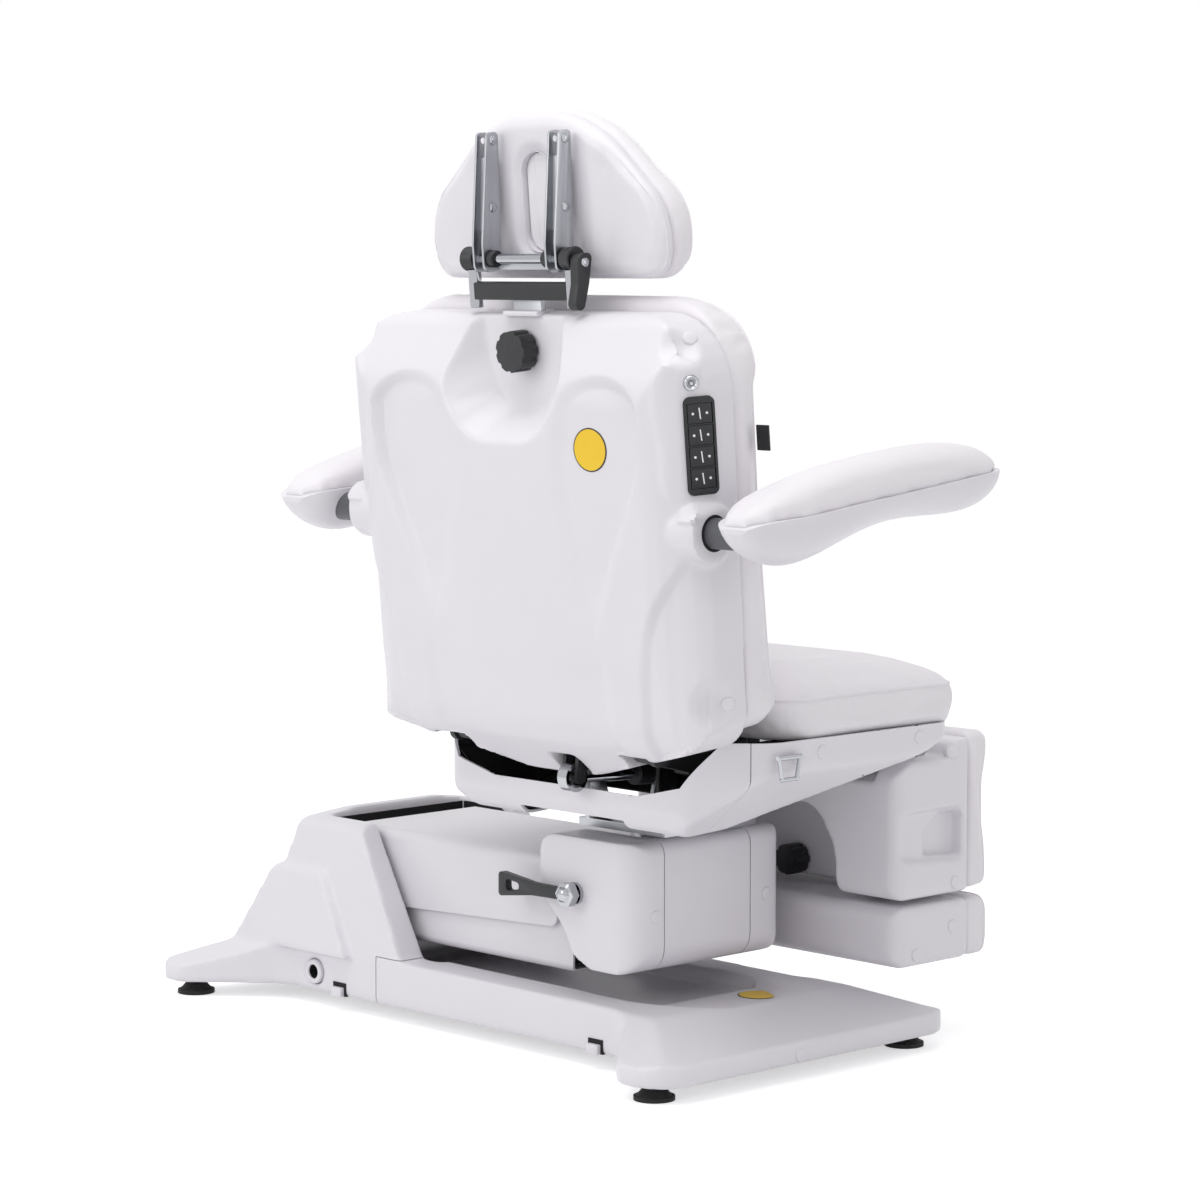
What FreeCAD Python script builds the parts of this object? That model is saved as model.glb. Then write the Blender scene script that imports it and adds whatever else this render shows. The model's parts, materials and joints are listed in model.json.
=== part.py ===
"""Electric beauty treatment chair on a swivelling parallel-lift base.

Millimetres, +Z up. The pieces are drawn about the swivel axis, with the sitter facing -Y and the lift tower
on the +X side, and are moved at the end so that the origin is the middle of the footprint on the floor.
Every piece of the backrest and headrest is drawn upright about the recline axis and then leaned back.
"""
import FreeCAD
import Part
import math
import os

Vector = FreeCAD.Vector
X_AXIS = Vector(1, 0, 0)
Y_AXIS = Vector(0, 1, 0)
Z_AXIS = Vector(0, 0, 1)
ZERO = Vector(0, 0, 0)

# General fits
WALL = 4.0
RUNNING = 0.06
GAP = 0.6

# Base, with its long side along X
FLOOR_GAP = 20.0
BASE_FRONT_X = -256.0
BASE_REAR_X = 722.0
BASE_FOOT_HALF = 262.0
BASE_WAIST_HALF = 163.0
BASE_RAIL_TOP = 82.0
BASE_LIP_TOP = 50.0
BASE_SEAM_X = 378.0
RECESS_HALF = 105.0
RECESS_FLOOR = 60.0
FOOT_X = (-203.0, 687.0)
FOOT_Y = 221.0
FOOT_RADIUS = 25.0
TOWER_TOP = 258.0
CHANNEL_HALF = 118.0
CHANNEL_END_X = 522.0
INLET_X = 505.0
INLET_Z = 46.0

# Parallel lift: upper and lower pivots on the tower, and the same pair on the swivel head
LINK_LENGTH = 400.0
TOWER_UPPER = (470.0, 200.0)
TOWER_LOWER = (430.0, 120.0)
HEAD_UPPER = (TOWER_UPPER[0] - LINK_LENGTH, TOWER_UPPER[1])
HEAD_LOWER = (TOWER_LOWER[0] - LINK_LENGTH, TOWER_LOWER[1])
PIVOT_RADIUS = 10.0
UPPER_LINK_Y = (82.0, 88.0)
LOWER_LINK_Y = (70.0, 76.0)
UPRIGHT_Y = (93.0, 99.0)
ARM_COVER_HALF = 112.0
ARM_SKIRT_HALF = 104.5
ARM_TOP = 244.0

# Swivel head under the seat
HEAD_HALF = 130.0
HEAD_ROUND = {1: 34.0, -1: 12.0}
HEAD_PANEL_HALF = 76.4
HEAD_END_X = -72.0
HEAD_BOTTOM = 113.0
HEAD_TOP = 278.0
PLATE_TOP = 293.0
PLATE_HALF_X = 77.0
PLATE_HALF_Y = 80.0
LEVER_PIVOT = (30.0, 136.0, 207.0)
LEVER_LENGTH = 122.0

# Seat
TILT_PIVOT = (70.0, 338.0)
BACK_PIVOT = (190.0, 405.0)
LEG_PIVOT = (-245.0, 388.0)
SEAT_HALF = 290.0
SEAT_FRONT_Y = -232.0
SEAT_REAR_Y = 88.0
PAN_REAR_Y = 176.0
PAN_TOP = 415.0
CUSHION_BOTTOM = 418.0
CUSHION_PIPING = 470.0
CUSHION_CROWN = 497.0
RING_Y = 84.0
RING_Z = 404.0
RAIL_TOP = 400.0
CROSS_THICK = 6.0
PAN_SEAM_Y = 122.0

# Backrest, drawn upright about the recline axis: x, depth (rear +) and height
BACK_LEAN = 5.0
BACK_HALF = 303.0
BACK_TOP = 524.0
BACK_BOTTOM = -38.0
BACK_SEAM = -38.0
BACK_REAR = 60.0
BACK_CUSHION_TOP = 541.0
BACK_CUSHION_FRONT = -112.0
SCOOP_FLOOR = 7.0
SOCKET = (14.0, 275.0)
SOCKET_X = 306.0
SOCKET_RADIUS = 26.0
TUBE_RADIUS = 18.0
KNOB_HEIGHT = 480.0
KNOB_RADIUS = 25.0
KEYPAD_HALF_WIDTH = 19.0
KEYPAD_HEIGHT = 114.0
KEYPAD_CENTRE = (-294.0, 14.5, 376.0)
KEYPAD_TURN = -64.0
KEY_COUNT = 4
KEY_PITCH = (KEYPAD_HEIGHT - 14) / KEY_COUNT
KEY_TALL = KEY_PITCH - 2.4

# Headrest, in the same upright frame
POST_WIDTH = 50.0
POST_DEPTH = (-7.0, 1.0)
SHAFT = (5.0, 589.0)
HEADREST_PIVOT = (-10.0, 730.0)
HEADREST_HALF = 214.0
HEADREST_BACK = -24.0
HEADREST_SEAM = -48.0
HEADREST_FRONT = -102.0
HEADREST_TOP = 765.0
HEADREST_BOTTOM = 558.0
HEADREST_ARM_X = 66.0
HUB_X = 86.0

# Armrests
ARMREST_X = 393.0
ARMREST_HALF = 50.0

# Leg rest and foot rest, hanging from the front of the seat
LEG_HALF = 240.0
LEG_REAR_Y = -168.0
LEG_SEAM_Y = -300.0
LEG_FRONT_Y = -356.0
LEG_TOP = 398.0
LEG_BOTTOM = 192.0
FOOT_TOP = 184.0
FOOT_BOTTOM = 106.0
LEG_TUBE_X = 120.0
LEG_TUBE_Y = -262.0
LEG_KNOB_Z = 214.0
LEG_HOLLOW = 76.0
LEG_KNOB_RADIUS = 20.0

# Linear actuators: pin, eye and tube sizes
ACTUATOR_PIN = 5.0
ACTUATOR_EYE = 18.0
ACTUATOR_OPEN_BORE = 13.0
ACTUATOR_TUBE_START = 12.0
BACK_ACTUATOR_X = -30.0
LEG_ACTUATOR_X = 30.0
BACK_CRANK = (5.0, -40.0)
LEG_CRANK = (19.0, -19.0)
BACK_ACTUATOR_PIN = (-112.0, 350.0)
LEG_ACTUATOR_PIN = (28.0, 356.0)
ANCHORS = [(BACK_ACTUATOR_X, *BACK_ACTUATOR_PIN), (LEG_ACTUATOR_X, *LEG_ACTUATOR_PIN)]


# Drawing helpers

def spot(axis, u, v, level):
    """Point on the plane across an axis: u and v are the other two axes in X, Y, Z order."""
    if axis == "x":
        return Vector(level, u, v)
    if axis == "y":
        return Vector(u, level, v)
    return Vector(u, v, level)


def outline(axis, corners, level=0.0):
    """Closed wire through the corners; a corner's third value is its rounding radius."""
    runs = []
    for index, corner in enumerate(corners):
        here = Vector(corner[0], corner[1], 0)
        radius = corner[2] if len(corner) > 2 else 0.0
        if radius == 0.0:
            runs.append((here, None, here))
            continue
        last = corners[index - 1]
        following = corners[(index + 1) % len(corners)]
        before = (Vector(last[0], last[1], 0) - here).normalize()
        after = (Vector(following[0], following[1], 0) - here).normalize()
        half_angle = before.getAngle(after) / 2
        reach = radius / math.tan(half_angle)
        inward = (before + after).normalize()
        middle = here + inward * (radius / math.sin(half_angle) - radius)
        runs.append((here + before * reach, middle, here + after * reach))
    edges = []
    for index, (start, middle, end) in enumerate(runs):
        if middle is not None:
            points = [spot(axis, p.x, p.y, level) for p in (start, middle, end)]
            edges.append(Part.Arc(*points).toShape())
        onward = runs[(index + 1) % len(runs)][0]
        if (onward - end).Length > 1e-6:
            edges.append(Part.LineSegment(spot(axis, end.x, end.y, level),
                                          spot(axis, onward.x, onward.y, level)).toShape())
    return Part.Wire(edges)


def drawn_in(corners, inset):
    """The same rounded polygon with every side moved inwards by inset."""
    following = list(corners[1:]) + [corners[0]]
    area = sum(a[0] * b[1] - b[0] * a[1] for a, b in zip(corners, following))
    turn = 1 if area > 0 else -1
    moved = []
    for index, corner in enumerate(corners):
        last, onward = corners[index - 1], following[index]
        way_in = Vector(corner[0] - last[0], corner[1] - last[1], 0).normalize()
        way_out = Vector(onward[0] - corner[0], onward[1] - corner[1], 0).normalize()
        normal_in = Vector(-way_in.y, way_in.x, 0) * turn
        normal_out = Vector(-way_out.y, way_out.x, 0) * turn
        shift = (normal_in + normal_out) * (inset / (1 + normal_in.dot(normal_out)))
        radius = corner[2] if len(corner) > 2 else 0.0
        if radius:
            convex = way_in.cross(way_out).z * turn > 0
            radius = max(radius - inset, 1.0) if convex else radius + inset
        moved.append((corner[0] + shift.x, corner[1] + shift.y, radius))
    return moved


def prism(axis, corners, low, high, inset=0.0):
    """Rounded polygon drawn across an axis and extruded along it, with its outline drawn in by inset."""
    low, high = sorted((low, high))
    face = Part.Face(outline(axis, drawn_in(corners, inset), low))
    return face.extrude(spot(axis, 0, 0, high - low))


def block(low, high):
    """Box between two corners."""
    size = [b - a for a, b in zip(low, high)]
    return Part.makeBox(*size, Vector(*low))


def rod(start, direction, length, radius):
    """Solid cylinder."""
    return Part.makeCylinder(radius, length, Vector(*start), direction)


def across(x_low, x_high, y, z, radius):
    """Cylinder along X."""
    return rod((x_low, y, z), X_AXIS, x_high - x_low, radius)


def along_y(x, y_low, y_high, z, radius):
    """Cylinder along Y."""
    return rod((x, y_low, z), Y_AXIS, y_high - y_low, radius)


def joined(*shapes):
    """One solid from touching shapes."""
    return shapes[0].fuse(list(shapes[1:])).removeSplitter()


def flipped(shape):
    """Mirror image across the chair's middle plane."""
    return shape.mirror(ZERO, X_AXIS)


def symmetric(half):
    """Whole outline from the corners on the positive second axis."""
    return list(half) + [(c[0], -c[1]) + tuple(c[2:]) for c in reversed(half)]


def mirrored_u(half):
    """Whole outline from the corners on the positive first axis."""
    return list(half) + [(-c[0], c[1]) + tuple(c[2:]) for c in reversed(half)]


def strut(axis, start, end, half_height, low, high):
    """Round-ended link between two pivots, extruded across them."""
    low, high = sorted((low, high))
    a = Vector(start[0], start[1], 0)
    b = Vector(end[0], end[1], 0)
    side = Vector(-(b - a).y, (b - a).x, 0).normalize() * half_height
    bar = prism(axis, [(a + side)[:2], (b + side)[:2], (b - side)[:2], (a - side)[:2]], low, high)
    along = spot(axis, 0, 0, 1)
    ends = [Part.makeCylinder(half_height, high - low, spot(axis, p.x, p.y, low), along) for p in (a, b)]
    return joined(bar, *ends)


def leaned(shape):
    """Move a shape drawn upright about the recline axis to its place on the chair."""
    placed = shape.copy()
    placed.rotate(ZERO, X_AXIS, -BACK_LEAN)
    placed.translate(Vector(0, *BACK_PIVOT))
    return placed


def back_point(depth, height):
    """Place on the chair, as y and z, of a point of the upright backrest."""
    turn = math.radians(BACK_LEAN)
    y = BACK_PIVOT[0] + depth * math.cos(turn) + height * math.sin(turn)
    z = BACK_PIVOT[1] - depth * math.sin(turn) + height * math.cos(turn)
    return y, z


def pillow(axis, corners, layers):
    """Loft of one outline at several levels: each layer is a level and how far the outline draws in there."""
    wires = []
    for level, inset in layers:
        tighten = 1 / (1 + inset / 60)
        layer = []
        for u, v, radius, u_pull, v_pull in corners:
            layer.append((u - u_pull * inset, v - v_pull * inset, radius * tighten))
        wires.append(outline(axis, layer, level))
    return Part.makeLoft(wires, True, False)


def star_knob(radius, length, lobes):
    """Fluted clamping knob standing on +Y, with its back face at y = 0."""
    body = rod((0, 0, 0), Y_AXIS, length, radius)
    flute_ring = radius * 1.12
    for index in range(lobes):
        turn = 2 * math.pi * index / lobes
        flute_x = flute_ring * math.cos(turn)
        flute_z = flute_ring * math.sin(turn)
        body = body.cut(along_y(flute_x, -1, length + 1, flute_z, radius * 0.2))
    neck = rod((0, -6, 0), Y_AXIS, 6, radius * 0.5)
    return joined(body, neck)


def actuator(x, start, end, tube_length, tube_radius, rod_radius, bore, inner):
    """Tube and rod of a linear actuator between two pins on the plane at x, drawn across X.

    The tube's eye runs on the fixed pin. The rod's eye is bored wide, because the pin that it drives is open.
    """
    a = Vector(x, *start)
    b = Vector(x, *end)
    way = (b - a).normalize()
    eye_half = 8.0
    fixed_eye = across(x - eye_half, x + eye_half, start[0], start[1], ACTUATOR_EYE - 4)
    tube = joined(fixed_eye, Part.makeCylinder(tube_radius, tube_length - ACTUATOR_TUBE_START,
                                               a + way * ACTUATOR_TUBE_START, way))
    tube = tube.cut(across(x - 20, x + 20, start[0], start[1], ACTUATOR_PIN + RUNNING))
    tube = tube.cut(Part.makeCylinder(rod_radius + RUNNING, tube_length, a + way * 24, way))
    reach = (b - a).Length - bore - 2
    piston = Part.makeCylinder(rod_radius, reach - inner, a + way * inner, way)
    open_eye = across(x - eye_half, x + eye_half, end[0], end[1], bore + 5)
    piston = joined(piston, open_eye).cut(across(x - 20, x + 20, end[0], end[1], bore))
    return tube, piston


# Base

BASE_PLAN = symmetric([(BASE_FRONT_X, BASE_FOOT_HALF, 50), (-178, BASE_FOOT_HALF, 34),
                       (-95, BASE_WAIST_HALF, 60), (565, BASE_WAIST_HALF, 60), (672, BASE_FOOT_HALF + 2, 20),
                       (BASE_REAR_X, BASE_FOOT_HALF, 24), (694, 140, 70)])
BASE_ACROSS = mirrored_u([(BASE_FOOT_HALF + 3, FLOOR_GAP), (BASE_FOOT_HALF + 3, 44, 8),
                          (BASE_FOOT_HALF - 26, 52, 30), (158, BASE_RAIL_TOP, 14)])
FRONT_SIDE = [(BASE_FRONT_X, FLOOR_GAP), (BASE_FRONT_X, BASE_LIP_TOP - 4, 7), (-232, BASE_LIP_TOP + 3, 20),
              (-148, BASE_RAIL_TOP - 3, 60), (BASE_SEAM_X - GAP, BASE_RAIL_TOP), (BASE_SEAM_X - GAP, FLOOR_GAP)]
REAR_SIDE = [(BASE_SEAM_X, FLOOR_GAP), (BASE_SEAM_X, BASE_RAIL_TOP), (630, 86, 40), (BASE_REAR_X + 3, 45, 10),
             (BASE_REAR_X + 3, FLOOR_GAP)]
TOWER_SIDE = [(326, 83), (430, TOWER_TOP, 24), (548, TOWER_TOP, 24), (625, 83)]
TOWER_ACROSS = mirrored_u([(163, 83), (149, TOWER_TOP - 11, 16), (70, TOWER_TOP, 60)])
SHOULDER_SIDE = [(425, 83), (492, 185, 22), (590, 185, 22), (662, 83)]
SHOULDER_ACROSS = mirrored_u([(178, 83), (163, 185, 14)])
RECESS_PLAN = symmetric([(-150, 62, 60), (-60, RECESS_HALF, 90), (BASE_SEAM_X + 1, RECESS_HALF)])


def crossed(side, across_profile, inset=0.0, reach_low=-500, reach_high=800):
    """Solid with one outline seen from the side and another seen from the end."""
    return prism("y", side, -400, 400, inset).common(prism("x", across_profile, reach_low, reach_high, inset))


def base_front_cover():
    """Moulded front half of the base, open below, with a shallow recess between its rails."""
    plan = prism("z", BASE_PLAN, FLOOR_GAP, 120)
    outer = plan.common(crossed(FRONT_SIDE, BASE_ACROSS))
    recess = prism("z", RECESS_PLAN, RECESS_FLOOR, 120)
    inner_plan = prism("z", BASE_PLAN, FLOOR_GAP - 10, 120, WALL)
    side = [(u, v - WALL if v > FLOOR_GAP else v - 10) + tuple(rest) for u, v, *rest in FRONT_SIDE]
    ends = [(u, v - WALL if v > FLOOR_GAP else v - 10) + tuple(rest) for u, v, *rest in BASE_ACROSS]
    inner = inner_plan.common(crossed(side, ends))
    inner = inner.cut(prism("z", RECESS_PLAN, RECESS_FLOOR - WALL, 120, -WALL))
    return outer.cut(recess).cut(inner)


def base_rear_cover():
    """Rear half of the base with the lift tower, slotted for the arm and open below."""
    plan = prism("z", BASE_PLAN, FLOOR_GAP, 120)
    low = plan.common(crossed(REAR_SIDE, BASE_ACROSS))
    tower = crossed(TOWER_SIDE, TOWER_ACROSS)
    shoulder = crossed(SHOULDER_SIDE, SHOULDER_ACROSS)
    sill = prism("y", [(BASE_SEAM_X, 60), (BASE_SEAM_X, 84), (640, 84), (640, 60)], -160, 160)
    outer = joined(low, tower, shoulder, sill)
    hollow_low = prism("z", BASE_PLAN, FLOOR_GAP - 10, 70, WALL).common(
        crossed([(u, v - WALL if v > FLOOR_GAP else v - 10) + tuple(r) for u, v, *r in REAR_SIDE],
                [(u, v - WALL if v > FLOOR_GAP else v - 10) + tuple(r) for u, v, *r in BASE_ACROSS]))
    tower_inside = [(BASE_SEAM_X + 12, 40), (438, TOWER_TOP - WALL, 20), (542, TOWER_TOP - WALL, 20), (606, 40)]
    tower_width = mirrored_u([(154, 40), (143, TOWER_TOP - 11 - WALL, 14), (70, TOWER_TOP - WALL, 56)])
    hollow = joined(hollow_low.cut(block((0, -400, 0), (BASE_SEAM_X + WALL, 400, 200))),
                    crossed(tower_inside, tower_width))
    lining = block((0, -CHANNEL_HALF - WALL, 84), (CHANNEL_END_X + WALL, CHANNEL_HALF + WALL, 400))
    slot = block((0, -CHANNEL_HALF, 0), (CHANNEL_END_X, CHANNEL_HALF, 400))
    sill_notch = block((BASE_SEAM_X - 10, -157, 0), (BASE_SEAM_X + 2 * WALL, 157, 44))
    inlet_hole = along_y(INLET_X, BASE_WAIST_HALF - 30, BASE_WAIST_HALF + 10, INLET_Z, 10)
    return outer.cut(hollow.cut(lining)).cut(slot).cut(sill_notch).cut(inlet_hole)


def base_frame():
    """Welded tube frame with the two uprights that carry the lift pivots."""
    low, high = 24.0, 40.0
    rails = [block((-221, y - 20, low), (684, y + 20, high)) for y in (-112, 112)]
    feet = [block((-221, -238, low), (-185, 238, high)), block((650, -232, low), (684, 232, high))]
    feet += [block((680, y - 17, low), (699, y + 17, high)) for y in (-FOOT_Y, FOOT_Y)]
    ties = [block((x - 13, -158, low), (x + 13, 158, high)) for x in (-41, 451)]
    upright = [(402, high - 2), (516, high - 2), (496, 222, 18), (448, 222, 18), (408, 140, 20)]
    plates = [prism("y", upright, side * UPRIGHT_Y[0], side * UPRIGHT_Y[1]) for side in (-1, 1)]
    frame = joined(*rails, *feet, *ties, *plates)
    for x, z in (TOWER_UPPER, TOWER_LOWER):
        frame = frame.cut(along_y(x, -200, 200, z, PIVOT_RADIUS + RUNNING))
    for x in FOOT_X:
        for y in (-FOOT_Y, FOOT_Y):
            frame = frame.cut(rod((x, y, 0), Z_AXIS, 80, 5 + RUNNING))
    return frame


def levelling_feet():
    """Four screw feet: a round pad that tapers to its stud."""
    feet = []
    for x in FOOT_X:
        for y in (-FOOT_Y, FOOT_Y):
            pad = rod((x, y, 0), Z_AXIS, 5, FOOT_RADIUS)
            cone = Part.makeCone(FOOT_RADIUS - 3, 14, 9, Vector(x, y, 5), Z_AXIS)
            feet.append(joined(pad, cone, rod((x, y, 14), Z_AXIS, 28, 5)))
    return Part.makeCompound(feet)


def mains_inlet():
    """Round inlet with a flange on the outside of the skirt and a blind hole for the lead."""
    y = BASE_WAIST_HALF
    body = joined(along_y(INLET_X, y + 0.3, y + 3, INLET_Z, 14), along_y(INLET_X, y - 22, y + 3, INLET_Z, 9.7))
    return body.cut(along_y(INLET_X, y - 16, y + 4, INLET_Z, 7.5))


def tower_pivot_pins():
    """Pins of the two links in the tower uprights."""
    reach = UPRIGHT_Y[1] + 1
    pivots = (TOWER_UPPER, TOWER_LOWER)
    return Part.makeCompound([along_y(x, -reach, reach, z, PIVOT_RADIUS) for x, z in pivots])


def control_box():
    """Power supply and motor control behind the tower."""
    return prism("z", [(590, -70, 6), (646, -70, 6), (646, 70, 6), (590, 70, 6)], 42, 68)


# Lift arm

def link(start, end, half_height, span, tie_x):
    """Two plates with pivot holes, joined by round ties."""
    plates = [strut("y", start, end, half_height, side * span[0], side * span[1]) for side in (-1, 1)]
    ties = [along_y(x, -span[0] - 1, span[0] + 1, start[1], 9) for x in tie_x]
    shape = joined(*plates, *ties)
    for x, z in (start, end):
        shape = shape.cut(along_y(x, -200, 200, z, PIVOT_RADIUS + RUNNING))
    return shape


def arm_top_cover():
    """Upper cover of the arm: a channel open below and at both ends."""
    side = [(486, 139), (486, ARM_TOP, 10), (84, ARM_TOP), (84, 155, 14)]
    outer = mirrored_u([(ARM_COVER_HALF, 100), (ARM_COVER_HALF, ARM_TOP, 14)])
    inner = mirrored_u([(ARM_COVER_HALF - 3.5, 90), (ARM_COVER_HALF - 3.5, ARM_TOP - 3, 11)])
    return crossed(side, outer).cut(prism("x", inner, -500, 800))


def arm_lower_cover():
    """Lower cover of the arm, a tray whose sides slide up inside the top cover."""
    side = [(398, 98), (398, 170), (62, 170), (62, 98, 14)]
    outer = mirrored_u([(ARM_SKIRT_HALF, 98, 12), (ARM_SKIRT_HALF, 200)])
    inner = mirrored_u([(ARM_SKIRT_HALF - 3, 101, 9), (ARM_SKIRT_HALF - 3, 210)])
    return crossed(side, outer).cut(prism("x", inner, -500, 800))


def lift_actuator():
    """Actuator across the diagonal of the parallel links."""
    tube, piston = actuator(0.0, (-TOWER_LOWER[0], TOWER_LOWER[1]), (-HEAD_UPPER[0], HEAD_UPPER[1]),
                            215, 19, 11, PIVOT_RADIUS + 6.5, 34)
    wide = PIVOT_RADIUS + RUNNING
    tube = tube.cut(across(-20, 20, -TOWER_LOWER[0], TOWER_LOWER[1], wide))
    turned = []
    for shape in (tube, piston):
        shape.rotate(ZERO, Z_AXIS, 90)
        turned.append(shape)
    return turned


# Swivel head

HEAD_SIDE = [(HEAD_END_X, HEAD_BOTTOM, 32), (HEAD_END_X, HEAD_TOP, 18), (106, HEAD_TOP, 14), (106, 214, 16),
             (52, 158, 60), (38, 128, 24), (6, HEAD_BOTTOM, 20)]
HEAD_INSIDE = [(HEAD_END_X + WALL, HEAD_BOTTOM + WALL, 28), (HEAD_END_X + WALL, HEAD_TOP - WALL, 14),
               (150, HEAD_TOP - WALL), (150, HEAD_BOTTOM - 40), (20, HEAD_BOTTOM - 40), (2, HEAD_BOTTOM + WALL)]


def head_shell(side):
    """Moulded side shell of the swivel head; side is 1 towards +Y."""
    low = HEAD_PANEL_HALF + GAP
    plan = [(HEAD_END_X, low), (200, low), (200, HEAD_HALF), (HEAD_END_X, HEAD_HALF, HEAD_ROUND[side])]
    inner_plan = [(HEAD_END_X + WALL, low - 20), (220, low - 20), (220, HEAD_HALF - WALL),
                  (HEAD_END_X + WALL, HEAD_HALF - WALL, HEAD_ROUND[side] - WALL)]
    outer = prism("y", HEAD_SIDE, low, HEAD_HALF).common(prism("z", plan, 0, 400))
    inner = prism("y", HEAD_INSIDE, low - 40, HEAD_HALF + 10).common(prism("z", inner_plan, 0, 400))
    shell = outer.cut(inner)
    if side > 0:
        return shell.cut(along_y(LEVER_PIVOT[0], 0, 300, LEVER_PIVOT[2], 8.5))
    return shell.mirror(ZERO, Y_AXIS)


def head_end_cover():
    """Plain panel that closes the end of the head between its two shells."""
    outer = [(HEAD_END_X + 2, HEAD_BOTTOM + 3, 26), (HEAD_END_X + 2, HEAD_TOP - 3, 16), (-30, HEAD_TOP - 3),
             (-30, HEAD_BOTTOM + 3)]
    inner = [(HEAD_END_X + 2 + WALL, HEAD_BOTTOM + 3 + WALL, 22),
             (HEAD_END_X + 2 + WALL, HEAD_TOP - 3 - WALL, 12), (0, HEAD_TOP - 3 - WALL),
             (0, HEAD_BOTTOM + 3 + WALL)]
    half = HEAD_PANEL_HALF
    panel = prism("y", outer, -half, half).cut(prism("y", inner, -half - 5, half + 5))
    return panel.cut(rod((0, 0, HEAD_TOP - 60), Z_AXIS, 100, 56))


def head_frame():
    """Steel head: two cheeks with the link pins, a top plate and the bearing seat."""
    cheek = [(-60, 130, 10), (-60, 236), (58, 236), (92, 218, 12), (92, 186, 12), (52, 106, 12), (12, 106, 12)]
    cheeks = [prism("y", cheek, side * 60, side * 66) for side in (-1, 1)]
    top = block((-60, -66, 228), (58, 66, 236))
    end = block((-60, -66, 134), (-54, 66, 236))
    pins = [along_y(HEAD_UPPER[0], -90, 90, HEAD_UPPER[1], PIVOT_RADIUS),
            along_y(HEAD_LOWER[0], -78, -60, HEAD_LOWER[1], PIVOT_RADIUS),
            along_y(HEAD_LOWER[0], 60, 78, HEAD_LOWER[1], PIVOT_RADIUS)]
    seat = rod((0, 0, 234), Z_AXIS, 10, 50)
    return joined(*cheeks, top, end, *pins, seat).cut(rod((0, 0, 200), Z_AXIS, 100, 16 + RUNNING))


def swivel_bearing():
    """Thrust bearing between the head and the carriage."""
    return rod((0, 0, 244.3), Z_AXIS, 38, 46).cut(rod((0, 0, 240), Z_AXIS, 60, 18))


def brake_bolt():
    """Chromed clamp bolt whose hexagon and collar stand out of the right shell."""
    x, y, z = LEVER_PIVOT
    shank = along_y(x, 66.3, y + 14, z, 8)
    collar = along_y(x, HEAD_HALF + 0.4, y - 1, z, 14)
    return joined(shank, collar)


def brake_lever():
    """Flat lever with a slot near its tip, on a hexagonal boss."""
    x, y, z = LEVER_PIVOT
    hexagon = [(x + 16 * math.cos(math.pi * k / 3), z + 16 * math.sin(math.pi * k / 3)) for k in range(6)]
    boss = prism("y", hexagon, y, y + 18)
    tip = x + LEVER_LENGTH
    paddle = [(x, z - 7), (x + 60, z - 8), (tip, z - 16, 5), (tip, z + 16, 5), (x + 60, z + 8), (x, z + 7)]
    grip = prism("y", paddle, y + 3, y + 14)
    slot = prism("y", [(tip - 36, z - 5, 4), (tip - 14, z - 8, 5), (tip - 14, z + 8, 5), (tip - 36, z + 5, 4)],
                 y - 5, y + 30)
    return joined(boss, grip).cut(slot).cut(along_y(x, y - 5, y + 14.4, z, 8 + RUNNING))


def swivel_carriage():
    """Turning plate with its spindle and the two lugs of the tilt hinge."""
    y, z = TILT_PIVOT
    plate = block((-PLATE_HALF_X, -PLATE_HALF_Y, PLATE_TOP - 10), (PLATE_HALF_X, PLATE_HALF_Y, PLATE_TOP))
    spindle = rod((0, 0, 212), Z_AXIS, PLATE_TOP - 215, 16)
    lug = prism("x", [(36, PLATE_TOP - 1), (80, PLATE_TOP - 1), (y + 17, z, 8), (y + 12, z + 16, 10),
                      (y - 12, z + 16, 10)], 58, 64)
    pin = across(57, 73, y, z, 8)
    return joined(plate, spindle, lug, flipped(lug), pin, flipped(pin))


# Seat

PAN_SIDE = [(158, 302, 20), (PAN_REAR_Y, 332, 10), (PAN_REAR_Y, PAN_TOP), (SEAT_FRONT_Y + 6, PAN_TOP),
            (SEAT_FRONT_Y + 6, 408), (-168, 384, 40), (-60, 352, 80), (92, 306, 60)]
PAN_ACROSS = mirrored_u([(178, 296, 12), (282, 384, 20), (SEAT_HALF - 2, PAN_TOP)])


def pan_solid(inset):
    """Tapered pan under the seat, drawn in by inset."""
    plan = mirrored_u([(SEAT_HALF - 2, SEAT_FRONT_Y + 6, 46), (SEAT_HALF - 2, 100, 70), (206, PAN_REAR_Y, 40)])
    lift = 40 if inset else 0
    side = [(u, v + (lift if v == PAN_TOP else 0)) + tuple(r) for u, v, *r in PAN_SIDE]
    ends = [(u, v + (lift if v == PAN_TOP else 0)) + tuple(r) for u, v, *r in PAN_ACROSS]
    shape = prism("x", side, -400, 400, inset).common(prism("y", ends, -400, 400, inset))
    return shape.common(prism("z", plan, 200, 500, inset))


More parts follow.
